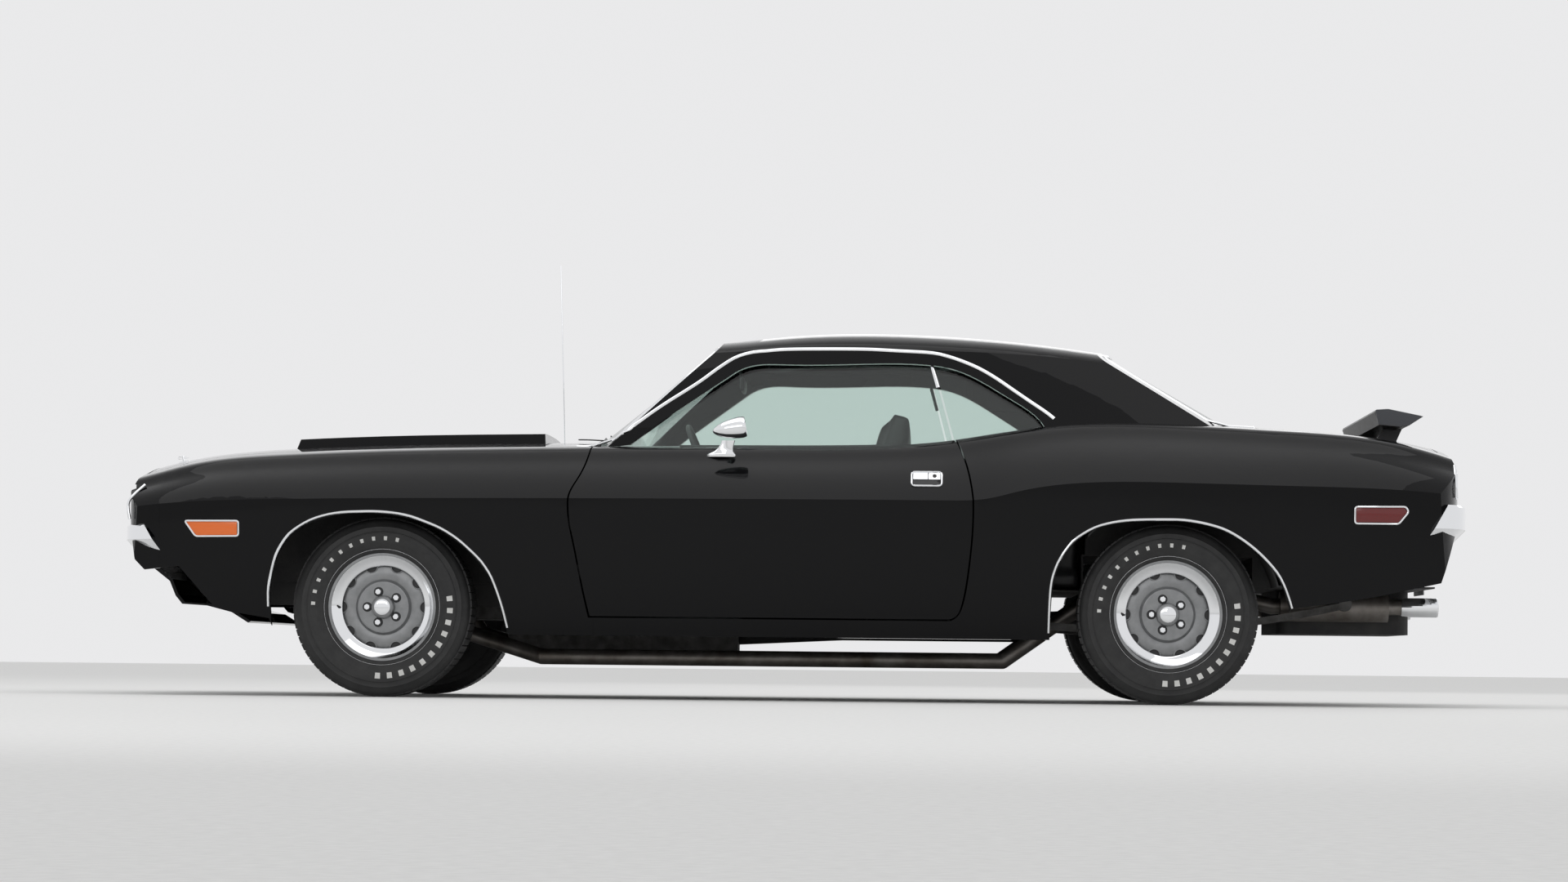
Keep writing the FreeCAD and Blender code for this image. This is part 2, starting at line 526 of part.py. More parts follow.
upper = upper.cut([both_sides(side_opening(0.0)), screen_opening(SCREEN_HOLE_SHARES, 0.0),
                   screen_opening(BACK_HOLE_SHARES, 0.0)])
upper = upper.cut(fender_left.fuse(mirrored(fender_left)))
upper = upper.cut(both_sides(door_block(GAP)))
upper = upper.cut(box(deck_rear - GAP, deck_front + GAP, -deck_half - GAP, deck_half + GAP,
                      HEIGHT * 0.6, HEIGHT))
inset, pane = size("glass_inset"), size("glass_thickness")
pane_outer = greenhouse(inset, inset, inset * 1.4)
pane_inner = greenhouse(inset + pane, inset + pane, inset * 1.4 + pane * 1.6)
panes = pane_outer.cut(pane_inner)
side_panes = panes.common(side_opening(SEAT))
divider_top, divider_low = at(-0.2035, 0.9), at(-0.2345, 0.69)
low = HEIGHT * 0.655
split = [Vector(divider_top.x, 0, HEIGHT), Vector(divider_top.x, 0, divider_top.z), divider_low,
         Vector(divider_low.x, 0, low), Vector(far, 0, low), Vector(far, 0, HEIGHT)]
door_side = outline_prism(lines(split + split[:1]), 0, wide)
split_rear = [p - Vector(GAP * 1.3, 0, 0) for p in split[:4]]
split_rear[-1].z = 0
split_rear += [Vector(-far, 0, 0), Vector(-far, 0, HEIGHT)]
rear_side = outline_prism(lines(split_rear + split_rear[:1]), 0, wide)
door_glass = side_panes.common(door_side)
quarter_glass = side_panes.common(rear_side).cut(full_body)
slot = greenhouse(inset - SEAT, inset, inset).cut(greenhouse(inset + pane + SEAT, inset, inset))
slot = slot.common(box(-far, far, 0, wide, low - SEAT, HEIGHT))
door_left = door_left.cut(slot)
upper = upper.cut(full_body)
windshield = panes.common(screen_opening(SCREEN_HOLE_SHARES, SEAT)).cut(full_body)
backlight = panes.common(screen_opening(BACK_HOLE_SHARES, SEAT)).cut(full_body)

# Underbody: floor, tunnel, seat pan, trunk floor and rear wheel houses.
sheet_wall = size("sheet_wall")
floor_z = z_of("floor")
pan_z, axle_pan_z, trunk_z = z_of("seat_pan"), z_of("axle_pan"), z_of("trunk_floor")
riser_x, axle_pan_rear = x_of("seat_riser"), x_of("axle_pan_rear")
floor_front = cabin_front - SEAT
axle_pan_front = cabin_rear + sheet_wall + SEAT
under_line = [(floor_front, floor_z), (riser_x, floor_z), (riser_x, pan_z), (axle_pan_front, pan_z),
              (axle_pan_front, axle_pan_z), (axle_pan_rear, axle_pan_z), (axle_pan_rear, trunk_z),
              (-far, trunk_z)]
over_line = [(-far, trunk_z + sheet_wall), (axle_pan_rear - sheet_wall, trunk_z + sheet_wall),
             (axle_pan_rear - sheet_wall, axle_pan_z + sheet_wall),
             (axle_pan_front + sheet_wall, axle_pan_z + sheet_wall),
             (axle_pan_front + sheet_wall, pan_z + sheet_wall),
             (riser_x + sheet_wall, pan_z + sheet_wall), (riser_x + sheet_wall, floor_z + sheet_wall),
             (floor_front, floor_z + sheet_wall)]


def side_prism(points, y_from, y_to):
    loop = [Vector(x, y_from, z) for x, z in points]
    return prism(lines(loop + loop[:1]), Vector(0, y_to - y_from, 0))


floor = side_prism(under_line + over_line, -wide, wide)
cabin_part = box(cabin_rear + SEAT, far, -cabin_half + SEAT, cabin_half - SEAT, 0, HEIGHT)
trunk_part = loose_body.common(box(-far, cabin_rear - SEAT, -wide, wide, 0, HEIGHT))
link_part = box(cabin_rear - SEAT, cabin_rear + SEAT, -cabin_half + SEAT, cabin_half - SEAT, 0, HEIGHT)
floor = floor.common(cabin_part).fuse([floor.common(trunk_part), floor.common(link_part)])
tunnel_radius = size("tunnel_radius")
along_x, along_y = Vector(1, 0, 0), Vector(0, 1, 0)
tunnel_start = Vector(riser_x, 0, floor_z)
tunnel_length = floor_front - riser_x
tunnel = Part.makeCylinder(tunnel_radius, tunnel_length, tunnel_start, along_x)
tunnel_hole = Part.makeCylinder(tunnel_radius - sheet_wall, 2 * tunnel_length,
                                tunnel_start - along_x * sheet_wall, along_x)
above = box(-far, far, -wide, wide, floor_z, HEIGHT)
floor = floor.fuse(tunnel.common(above)).cut(tunnel_hole)
shell = shell.cut(tunnel_hole)
house_radius, house_in = size("wheelhouse_radius"), y_of("wheelhouse_inner")
axle_centre = Vector(REAR_AXLE, house_in, TYRE_RADIUS)
house = Part.makeCylinder(house_radius, wide - house_in, axle_centre, along_y)
house_hole = Part.makeCylinder(house_radius - sheet_wall, wide - house_in,
                               axle_centre + along_y * sheet_wall, along_y)
above_line = under_line + [(-far, HEIGHT), (floor_front, HEIGHT)]
house_shell = house.cut(house_hole).common(side_prism(above_line, 0, wide)).common(trunk_part)
floor = floor.cut(both_sides(house_hole))
floor = floor.fuse(both_sides(house_shell)).cut(shell)

# Front frame: rails, inner aprons, cross member and radiator support.
rail_in, rail_w = y_of("rail_inner"), size("rail_width")
rail_low, rail_up = z_of("rail_low"), z_of("rail_low") + size("rail_height")
support_x = x_of("radiator_support")
frame_rear = firewall + SEAT
apron_y, apron_top = y_of("apron"), z_of("apron_high")
rail = box(frame_rear, support_x, rail_in, rail_in + rail_w, rail_low, rail_up)
apron = box(frame_rear, support_x, apron_y, apron_y + sheet_wall, rail_up - sheet_wall, apron_top)
ledge = box(frame_rear, support_x, rail_in + rail_w - sheet_wall, apron_y + sheet_wall,
            rail_up - sheet_wall, rail_up)
flange = box(frame_rear, support_x, apron_y, hood_half, apron_top - sheet_wall, apron_top)
support = box(support_x, support_x + rail_w * 0.4, 0, hood_half, rail_low, apron_top - rail_w * 0.5)
window = box(support_x - rail_w, support_x + rail_w, 0, rail_in, rail_up, apron_top - rail_w)
cross_z = z_of("cross_member")
cross = box(FRONT_AXLE - rail_w, FRONT_AXLE + rail_w, 0, rail_in + rail_w, cross_z, cross_z + rail_w)
post = box(FRONT_AXLE - rail_w, FRONT_AXLE + rail_w, rail_in, rail_in + rail_w, cross_z,
           rail_low + sheet_wall)
under_hood = full_body.translated(Vector(0, 0, -size("lid_thickness") - 2 * GAP))
upright = apron.fuse([flange, support.cut(window)]).common(under_hood)
half_frame = rail.fuse([upright, ledge, cross, post])
front_frame = both_sides(half_frame).removeSplitter()

# Engine with gearbox as plain blocks, driveshaft, exhaust and fuel tank.
engine_low = cross_z + rail_w + SEAT
engine_x = frame_rear + size("engine_gap")
engine_half = size("engine_width") / 2
engine_far = engine_x + size("engine_length")
engine = box(engine_x, engine_far, -engine_half, engine_half, engine_low,
             engine_low + size("engine_height"))
gear_half = size("gearbox_width") / 2
gear_rear = engine_x - size("gearbox_length")
gearbox = box(gear_rear, engine_x + GAP, -gear_half, gear_half, floor_z - gear_half, floor_z + gear_half)
engine = engine.fuse([gearbox, box(engine_x, engine_x + 2 * gear_half, -gear_half, gear_half,
                                   floor_z - gear_half, engine_low + GAP)])
diff_radius = size("differential_diameter") / 2
shaft_radius = size("driveshaft_diameter") / 2
diff = Part.makeSphere(diff_radius, Vector(REAR_AXLE, 0, TYRE_RADIUS))
driveshaft = rod(Vector(gear_rear - SEAT, 0, floor_z), Vector(REAR_AXLE, 0, TYRE_RADIUS), shaft_radius)
driveshaft = driveshaft.cut([diff, box(gear_rear - SEAT, far, -wide, wide, 0, HEIGHT)])

pipe_radius, pipe_y, pipe_z = size("exhaust_diameter") / 2, y_of("exhaust"), z_of("exhaust")
muffler_radius, muffler_z = size("muffler_diameter") / 2, trunk_z - size("muffler_diameter") / 2 - GAP
over_axle_z = TYRE_RADIUS + size("axle_tube_diameter") / 2 + pipe_radius + size("exhaust_hump_gap")
tip_x = x_of("exhaust_tip")
pipe_start = (engine_x + engine_far) / 2
pipe_points = [Vector(pipe_start, engine_half - pipe_radius, engine_low - SEAT),
               Vector(pipe_start - pipe_radius, engine_half - pipe_radius, pipe_z + pipe_radius * 3),
               Vector(engine_x, pipe_y, pipe_z), Vector(riser_x, pipe_y, pipe_z),
               Vector(cabin_rear - 3 * pipe_radius, pipe_y, over_axle_z),
               Vector(axle_pan_rear + pipe_radius * 5, pipe_y, over_axle_z),
               Vector(axle_pan_rear - pipe_radius * 3, pipe_y, muffler_z), Vector(tip_x, pipe_y, muffler_z)]
runs = [rod(a, b, pipe_radius) for a, b in zip(pipe_points, pipe_points[1:])]
bends = [Part.makeSphere(pipe_radius, p) for p in pipe_points[1:-1]]
muffler = rod(pipe_points[-2] - along_x * pipe_radius, pipe_points[-2] - along_x * size("muffler_length"),
              muffler_radius)
hanger = box(axle_pan_rear - 5 * pipe_radius, axle_pan_rear - 6 * pipe_radius, pipe_y - GAP, pipe_y + GAP,
             muffler_z, trunk_z - SEAT)
pipe = runs[0].fuse(runs[1:] + bends + [muffler, hanger])
pipe = pipe.cut(box(engine_x, engine_far, -wide, wide, engine_low - SEAT, HEIGHT))
exhaust = both_sides(pipe)
tank_half = size("tank_width") / 2
tank_front = axle_pan_rear - size("tank_gap")
tank = box(tank_front - size("tank_length"), tank_front, -tank_half, tank_half,
           trunk_z - SEAT - size("tank_height"), trunk_z - SEAT)
tank = tank.makeFillet(size("tank_fillet"), [e for e in tank.Edges if abs(e.tangentAt(0).x) < 0.5
                                             and abs(e.tangentAt(0).y) < 0.5])

# Rear axle on its leaf springs.
tube_radius = size("axle_tube_diameter") / 2
drum_radius = size("drum_diameter") / 2
stub = size("spindle_diameter") / 2
hub_y_rear = size("track_rear") / 2
hub_y_front = size("track_front") / 2
drum_back = size("drum_back")
axle_end = hub_y_rear - drum_back - GAP
spring_y, spring_half, leaf = y_of("spring"), size("spring_width") / 2, size("spring_thickness")
spring_top = TYRE_RADIUS - tube_radius + SEAT * 5
front_eye = Vector(riser_x - size("spring_eye_diameter") * 1.6, 0, z_of("spring_front_eye"))
rear_eye = Vector(x_of("spring_rear_eye"), 0, trunk_z - size("spring_eye_diameter"))
middle = Vector(REAR_AXLE, 0, spring_top)
drop = Vector(0, 0, leaf)
leaf_edges = [Part.Arc(front_eye, middle, rear_eye).toShape(),
              Part.Arc(front_eye - drop, middle - drop, rear_eye - drop).toShape(),
              Part.makeLine(front_eye, front_eye - drop), Part.makeLine(rear_eye, rear_eye - drop)]
spring = outline_prism(leaf_edges, spring_y - spring_half, spring_y + spring_half)
eye_radius = size("spring_eye_diameter") / 2
for eye, roof_z in ((front_eye, pan_z), (rear_eye, trunk_z)):
    centre = eye + Vector(0, spring_y - spring_half, -leaf / 2)
    spring = spring.fuse([Part.makeCylinder(eye_radius, 2 * spring_half, centre, along_y),
                          box(eye.x - eye_radius, eye.x + eye_radius, spring_y - spring_half,
                              spring_y + spring_half, eye.z - leaf / 2, roof_z - SEAT)])
half_axle = rod(Vector(REAR_AXLE, 0, TYRE_RADIUS), Vector(REAR_AXLE, axle_end, TYRE_RADIUS), tube_radius)
axle_stub = rod(Vector(REAR_AXLE, 0, TYRE_RADIUS),
                Vector(REAR_AXLE, hub_y_rear + size("spindle_reach"), TYRE_RADIUS), stub)
rear_axle = both_sides(half_axle.fuse([axle_stub, spring])).fuse(diff)

# Front suspension: arms on the frame and the two knuckles that steer.
steer_y = hub_y_front - size("steering_offset")
arm_w, arm_t, post_r = size("arm_width"), size("arm_thickness"), size("knuckle_diameter") / 2
low_arm_z, high_arm_z = TYRE_RADIUS - size("lower_arm_drop"), TYRE_RADIUS + size("upper_arm_rise")


def arm(y_from, z):
    outline = [Vector(FRONT_AXLE - arm_w, y_from, z), Vector(FRONT_AXLE + arm_w, y_from, z),
               Vector(FRONT_AXLE + post_r, steer_y, z), Vector(FRONT_AXLE - post_r, steer_y, z)]
    plate = prism(lines(outline + outline[:1]), Vector(0, 0, arm_t))
    return plate.fuse(Part.makeCylinder(post_r, arm_t, Vector(FRONT_AXLE, steer_y, z)))


low_arm = arm(rail_in + rail_w + SEAT, low_arm_z)
high_arm = arm(apron_y + sheet_wall + SEAT, high_arm_z)
suspension = both_sides(low_arm.fuse(high_arm))
knuckle = Part.makeCylinder(post_r, high_arm_z - low_arm_z - arm_t - 2 * SEAT,
                            Vector(FRONT_AXLE, steer_y, low_arm_z + arm_t + SEAT))
knuckle = knuckle.fuse(rod(Vector(FRONT_AXLE, steer_y, TYRE_RADIUS),
                           Vector(FRONT_AXLE, hub_y_front + size("spindle_reach"), TYRE_RADIUS), stub))


def ring_of(profile):
    """Turns a profile of (radius, across) points about the wheel's axle."""
    loop = [Vector(r, y, 0) for r, y in profile]
    return Part.Face(Part.Wire(lines(loop + loop[:1]))).revolve(Vector(), along_y, 360)


def facet_ring(profile, sides):
    """The same turned shape with flat facets round it, which keeps a tyre's mesh small."""
    rings = []
    for count in range(sides):
        turn = 2 * math.pi * count / sides
        rings.append([Vector(r * math.sin(turn), y, -r * math.cos(turn)) for r, y in profile])
    faces = []
    for here, there in zip(rings, rings[1:] + rings[:1]):
        for k, start in enumerate(here):
            after = (k + 1) % len(profile)
            corners = [start, here[after], there[after], there[k], start]
            faces.append(Part.Face(Part.Wire(lines(corners))))
    skin = Part.makeShell(faces)
    skin.sewShape()
    return Part.makeSolid(skin)


# Tyre and wheel, drawn about their own axle with the outer side at +Y.
half_section, tread_half = size("tyre_width") / 2, size("tread_width") / 2
bead_r, rim_half = size("bead_diameter") / 2, size("rim_width") / 2
bulge_r = bead_r + (TYRE_RADIUS - bead_r) * 0.55
TYRE_FACETS = 72
bead_top = bead_r + size("rim_flange")
tyre_shape = facet_ring([(bead_r, -rim_half), (bead_top, -rim_half), (bulge_r, -half_section),
                         (TYRE_RADIUS, -tread_half), (TYRE_RADIUS, tread_half), (bulge_r, half_section),
                         (bead_top, rim_half), (bead_r, rim_half)], TYRE_FACETS)
rim_r = bead_r - SEAT
barrel_in = rim_r - size("rim_wall")
flange_r, flange_w = rim_r + size("rim_flange"), size("rim_wall")
ring_r, ring_in = size("trim_ring_diameter") / 2, size("trim_ring_inner_diameter") / 2
disc_y, disc_t = size("wheel_disc_offset"), size("wheel_disc_thickness")
dish, step_r, step_h = size("wheel_dish"), size("hub_step_diameter") / 2, size("hub_step_height")
bore_r = stub + size("running_clearance")
edge_y = rim_half + SEAT
barrel = ring_of([(barrel_in, -edge_y - flange_w), (flange_r, -edge_y - flange_w), (flange_r, -edge_y),
                  (rim_r, -edge_y), (rim_r, edge_y), (flange_r, edge_y), (flange_r, edge_y + flange_w),
                  (barrel_in, edge_y + flange_w)])
ring_foot = disc_y + disc_t / 2
barrel_mid = barrel_in + flange_w / 2
trim_ring = ring_of([(ring_in, ring_foot), (ring_in + flange_w, ring_foot), (barrel_mid, edge_y - flange_w),
                     (barrel_mid, edge_y + flange_w / 2), (ring_r, edge_y + flange_w / 2),
                     (ring_r, edge_y + 2 * flange_w), (ring_in + flange_w, disc_y + dish + disc_t)])
disc = ring_of([(bore_r, disc_y + step_h), (step_r, disc_y + step_h), (step_r + disc_t, disc_y),
                (ring_in, disc_y), (barrel_mid, disc_y - dish),
                (barrel_mid, disc_y - dish + disc_t), (ring_in, disc_y + disc_t),
                (step_r + 2 * disc_t, disc_y + disc_t), (step_r, disc_y + step_h + disc_t),
                (bore_r, disc_y + step_h + disc_t)])
slot_r = size("slot_width") / 2
SLOT_COUNT = 10
for count in range(SLOT_COUNT):
    slot_place = Vector(ring_in - slot_r - SEAT, disc_y - disc_t, 0)
    cutter = Part.makeCylinder(slot_r, disc_t * 3, slot_place, along_y)
    disc = disc.cut(cutter.rotate(Vector(), along_y, 360.0 / SLOT_COUNT * count))
drum_w = size("drum_width")
hub_front = disc_y + step_h + SEAT
hub = ring_of([(bore_r, -drum_back), (drum_radius, -drum_back), (drum_radius, drum_w - drum_back),
               (step_r * 0.7, drum_w - drum_back), (step_r * 0.7, hub_front), (bore_r, hub_front)])
cap_r, cap_h = size("cap_diameter") / 2, size("cap_height")
reach = size("spindle_reach") + GAP
cap_y = disc_y + step_h + disc_t
cap = ring_of([(bore_r, cap_y - disc_t), (cap_r, cap_y - disc_t), (cap_r, cap_y + cap_h * 0.6),
               (cap_r * 0.7, cap_y + cap_h), (0, cap_y + cap_h), (0, reach), (bore_r, reach)])
lug_r, lug_h = size("lug_diameter") / 2, size("lug_height")
lugs = []
LUG_COUNT = 5
for count in range(LUG_COUNT):
    turn = 2 * math.pi * count / LUG_COUNT
    place = Vector(math.cos(turn), 0, math.sin(turn)) * (size("lug_circle_diameter") / 2)
    lugs.append(Part.makeCone(lug_r, lug_r * 0.7, lug_h + SEAT, place + along_y * (cap_y - SEAT), along_y))
wheel_shape = barrel.fuse([trim_ring, disc, hub, cap] + lugs)

# Bumpers: a hooked section that follows the plan of nose and tail round the corners, its lower
# half raked back, with ends cut aslant.
BUMPER_PLAN_SHARES = [(1.0, 0.0), (1.0, 0.44), (0.99, 0.80), (0.966, 0.965), (0.905, 0.985)]
FRONT_END_SHARES = [(0.9145, 0.350), (0.9510, 0.455), (0.88, 0.455), (0.88, 0.350)]
REAR_END_SHARES = [(0.9145, 0.410), (0.9560, 0.5350), (0.88, 0.5350), (0.88, 0.410)]
bumper_rake, bumper_wall, bumper_roll = size("bumper_rake"), size("bumper_wall"), size("bumper_roll")


def inset_plan(points, distance):
    """Moves every leg of an open outline inwards by a distance."""
    normals = []
    for a, b in zip(points, points[1:]):
        leg = (b - a).normalize()
        normals.append(Vector(-leg.y, leg.x, 0))
    pairs = zip([normals[0]] + normals, normals + [normals[-1]])
    return [p + (m + n) * (distance / (1 + m.dot(n))) for p, (m, n) in zip(points, pairs)]


def bumper(way, z_low, height, end_shares):
    section = [(bumper_rake, 0), (0, bumper_rake), (0, height - bumper_roll), (bumper_roll, height),
               (size("bumper_depth"), height), (size("bumper_depth"), height - bumper_wall),
               (bumper_wall, height - bumper_wall), (bumper_wall, bumper_rake + bumper_wall * 0.4),
               (bumper_rake + bumper_wall, bumper_wall * 0.4)]
    half = [Vector(a * HALF_LENGTH, w * HALF_WIDTH, 0) for a, w in BUMPER_PLAN_SHARES]
    plan = [Vector(p.x, -p.y, 0) for p in half[:0:-1]] + half
    curves = []
    for inset, rise in section:
        row = [Vector(way * p.x, p.y, z_low + rise) for p in inset_plan(plan, inset)]
        curves.append(control_curve(row))
    faces = [Part.makeRuledSurface(a, b) for a, b in zip(curves, curves[1:] + curves[:1])]
    tips = []
    for last in (0, -1):
        corners = [c.Vertexes[last].Point for c in curves]
        tips.append(Part.Face(Part.Wire(lines(corners + corners[:1]))))
    shell_of_bar = Part.makeShell([f.Faces[0] for f in faces + tips])
    shell_of_bar.sewShape()
    bar = Part.makeSolid(shell_of_bar)
    tip_cut = [Vector(way * a * HALF_LENGTH, 0, z * HEIGHT) for a, z in end_shares]
    bar = bar.cut(outline_prism(lines(tip_cut + tip_cut[:1]), -wide, wide))
    foot_z = z_low + bumper_rake
    feet = box(way * HALF_LENGTH * 0.95, way * (HALF_LENGTH - bumper_wall / 2), rail_in, rail_in + rail_w,
               foot_z, z_low + height - 2 * bumper_roll)
    clear = full_body.translated(Vector(way * SEAT, 0, 0))
    return bar.fuse(both_sides(feet)).cut([clear, full_body])


front_bumper = bumper(1, z_of("bumper_front"), size("bumper_front_height"), FRONT_END_SHARES)
rear_bumper = bumper(-1, z_of("bumper_rear"), size("bumper_rear_height"), REAR_END_SHARES)

# Lamps set flush into the skin, and the grille box in the nose.
def skin_patch(block, shift):
    return full_body.common(block).cut(full_body.translated(shift))


def marker(points, depth):
    loop = [at(a, z) for a, z in points]
    return skin_patch(outline_prism(lines(loop + loop[:1]), hood_half, wide), Vector(0, -depth, 0))


marker_depth = size("marker_depth")
front_marker = marker(FRONT_MARKER_SHARES, marker_depth)
rear_marker = marker(REAR_MARKER_SHARES, marker_depth)
fender_left = fender_left.cut(front_marker)
shell = shell.cut(both_sides(rear_marker))
tail_block = box(-HALF_LENGTH * 0.95, -far, y_of("tail_lamp_inner"), y_of("tail_lamp_outer"),
                 z_of("tail_lamp_low"), z_of("tail_lamp_high"))
tail_lamp = skin_patch(tail_block, Vector(marker_depth * 2, 0, 0))
shell = shell.cut(both_sides(tail_lamp))
box_wall = size("sheet_wall") / 2
mouth_low, mouth_high = z_of("mouth_low") + SEAT, z_of("mouth_high") - SEAT
mouth_wide = mouth_half - SEAT
grille_back, grille_front = seam + 2 * SEAT, seam + size("grille_depth")
grille = box(grille_back, grille_front, -mouth_wide, mouth_wide, mouth_low, mouth_high)
grille = grille.cut(box(grille_back + box_wall, far, -mouth_wide + box_wall, mouth_wide - box_wall,
                        mouth_low + box_wall, mouth_high - box_wall))
lamp_r = size("lamp_diameter") / 2
lamp_z = (mouth_low + mouth_high) / 2
lamp_row = [mouth_wide - lamp_r - 3 * box_wall, mouth_wide - 3 * lamp_r - 6 * box_wall]
lamps = [Part.makeCylinder(lamp_r - 2 * box_wall, size("lamp_depth"),
                           Vector(grille_back + box_wall + SEAT, y, lamp_z), along_x) for y in lamp_row]
headlamps = both_sides(Part.makeCompound(lamps))
bezels = [Part.makeCylinder(lamp_r, size("grille_depth") * 0.8, Vector(grille_back, y, lamp_z), along_x)
          .cut(Part.makeCylinder(lamp_r - 2 * box_wall + SEAT, size("grille_depth"),
                                 Vector(grille_back, y, lamp_z), along_x)) for y in lamp_row]
bar_half = lamp_row[1] - lamp_r - 2 * box_wall
BAR_COUNT = 7
pitch = (mouth_high - mouth_low) / BAR_COUNT
bars = [box(grille_back, grille_back + size("lamp_depth"), -bar_half, bar_half,
            mouth_low + pitch * (i + 0.4), mouth_low + pitch * (i + 0.6)) for i in range(BAR_COUNT)]
grille = grille.fuse(bars + [both_sides(Part.makeCompound(bezels))])

# Cabin: dashboard, column, steering wheel and seats.
dash_rear, dash_low, dash_high = x_of("dash_rear"), z_of("dash_low"), z_of("dash_high")
dash = box(dash_rear, cowl_back - SEAT, -y_of("dash"), y_of("dash"), dash_low, dash_high)
dash = dash.makeFillet(size("dash_fillet"), [e for e in dash.Edges if abs(e.CenterOfMass.x - dash_rear) < SEAT
                                             and abs(e.tangentAt(0).y) > 0.5]).cut([shell, upper])
driver_y = y_of("seat")
wheel_centre = Vector(x_of("steering_wheel"), driver_y, z_of("steering_wheel"))
lean = math.radians(size("steering_tilt"))
column_way = Vector(math.cos(lean), 0, -math.sin(lean))
column_r = size("column_diameter") / 2
column_run = (dash_rear - wheel_centre.x) * 1.5
column = rod(wheel_centre + column_way * (GAP + SEAT), wheel_centre + column_way * column_run, column_r)
rim_radius = size("steering_wheel_diameter") / 2 - size("steering_rim") / 2
steering = Part.makeTorus(rim_radius, size("steering_rim") / 2, wheel_centre, column_way)
hub_disc = Part.makeCylinder(column_r * 1.3, 2 * GAP, wheel_centre - column_way * GAP, column_way)
spoke_box = box(-GAP / 2, GAP / 2, -rim_radius, rim_radius, -2 * GAP, 2 * GAP)
spoke_box = spoke_box.rotate(Vector(), along_y, size("steering_tilt")).translate(wheel_centre)
steering = steering.fuse([hub_disc, spoke_box])


def seat_solid(points, y_from, y_to, round_off):
    solid = side_prism(points, y_from, y_to)
    across = [e for e in solid.Edges if abs(e.tangentAt(e.FirstParameter).y) < 0.5]
    return solid.makeFillet(round_off, across)


seat_half = size("seat_width") / 2
seat_x, seat_z = x_of("seat_front"), floor_z + sheet_wall
SEAT_SHARES = [(0, 0.16), (0, 0.42), (-0.86, 0.34), (-1.14, 1.05), (-1.28, 1.03), (-1.12, 0.14)]
seat_depth, seat_height = size("seat_depth"), size("seat_back_height")
seat_points = [(seat_x + a * seat_depth, seat_z + z * seat_height) for a, z in SEAT_SHARES]
seat = seat_solid(seat_points, driver_y - seat_half, driver_y + seat_half, size("seat_fillet"))
base = box(seat_x - seat_depth, seat_x - seat_depth * 0.1, driver_y - seat_half * 0.75,
           driver_y + seat_half * 0.75, seat_z + SEAT, seat_z + seat_height * 0.18)
seat = seat.fuse(base)
REAR_SEAT_SHARES = [(0, 0.0), (0, 0.25), (-0.72, 0.2), (-0.86, 1.0), (-1.0, 1.0), (-1.0, 0.0)]
back_x = axle_pan_front + sheet_wall + SEAT
rear_depth = x_of("rear_seat_front") - back_x
rear_points = [(x_of("rear_seat_front") + a * rear_depth,
                pan_z + sheet_wall + SEAT + z * size("rear_seat_height")) for a, z in REAR_SEAT_SHARES]
rear_half = house_in - 2 * GAP
rear_seat = seat_solid(rear_points, -rear_half, rear_half, size("seat_fillet") * 0.7).cut(floor)

# The cowl with the firewall and the hinge posts is a panel of its own.
cowl_seam = x_of("cowl_seam")
cowl = shell.common(box(cowl_seam, far, -wide, wide, 0, HEIGHT)).removeSplitter()
shell = shell.cut(box(cowl_seam - SEAT, far, -wide, wide, 0, HEIGHT)).fuse(upper)

# Hinge leaves that bridge the panel gaps.
leaf_w, leaf_h = size("hinge_leaf_width"), size("hinge_leaf_height")
door_edge = door_block(GAP).common(full_body).cut(door_block(0.0).fuse(door_block(SEAT)))


def door_leaf(z):
    return door_edge.common(box(DOOR_HINGE_X - 3 * leaf_w, DOOR_HINGE_X + leaf_w, HALF_WIDTH - 5 * leaf_w,
                                HALF_WIDTH - 4 * leaf_w, z, z + leaf_h))


door_leaves = [door_leaf(z_of("hinge_low")), door_leaf(z_of("hinge_high"))]


def lid_leaf(x_from, x_to, z_from, half):
    leaf = box(x_from, x_to, half * 0.8, half * 0.8 + leaf_h, z_from, z_from + leaf_w)
    return leaf.common(full_body)


hood_leaf = lid_leaf(hood_rear - GAP, hood_rear - SEAT, z_of("hood_leaf"), hood_half)
deck_leaf = lid_leaf(deck_front + SEAT, deck_front + GAP, z_of("deck_leaf"), deck_half)

# Raised middle of the hood with its twin inlets, rear wing, door mirror and antenna.
scoop_rise, scoop_lip = size("scoop_rise"), size("scoop_lip")
plateau = []
for height_share, outline in ((0.6, SCOOP_FOOT_SHARES), (0.8, SCOOP_TOP_SHARES)):
    corners = [at(a, height_share, w) for a, w in outline]
    plateau.append(Part.Wire(lines(corners + corners[:1])))
raised = full_body.translated(Vector(0, 0, scoop_rise))
bulge = Part.makeLoft(plateau, True, True).common(raised).cut(full_body)
inlet_x = SCOOP_FOOT_SHARES[0][0] * HALF_LENGTH
inlet = box(inlet_x - size("scoop_depth"), inlet_x + scoop_rise, y_of("inlet_inner"), y_of("inlet_outer"),
            0, HEIGHT)
inlet = inlet.common(full_body.translated(Vector(0, 0, scoop_rise - scoop_lip)))
inlet = inlet.cut(full_body.translated(Vector(0, 0, scoop_lip / 2)))
hood = hood.fuse(bulge.cut(both_sides(inlet)))
wing_edges = [at(a, z) for a, z in WING_SHARES]
wing_half = y_of("wing")
wing = outline_prism(lines(wing_edges + wing_edges[:1]), -wing_half, wing_half)
stand_w = size("wing_stand_width")
stand_edges = [at(a, z) for a, z in WING_STAND_SHARES]
stand = outline_prism(lines(stand_edges + stand_edges[:1]), y_of("wing_stand"), y_of("wing_stand") + stand_w)
wing = wing.fuse(both_sides(stand)).cut(full_body)
wing = wing.cut(full_body.translated(Vector(0, 0, SEAT)))
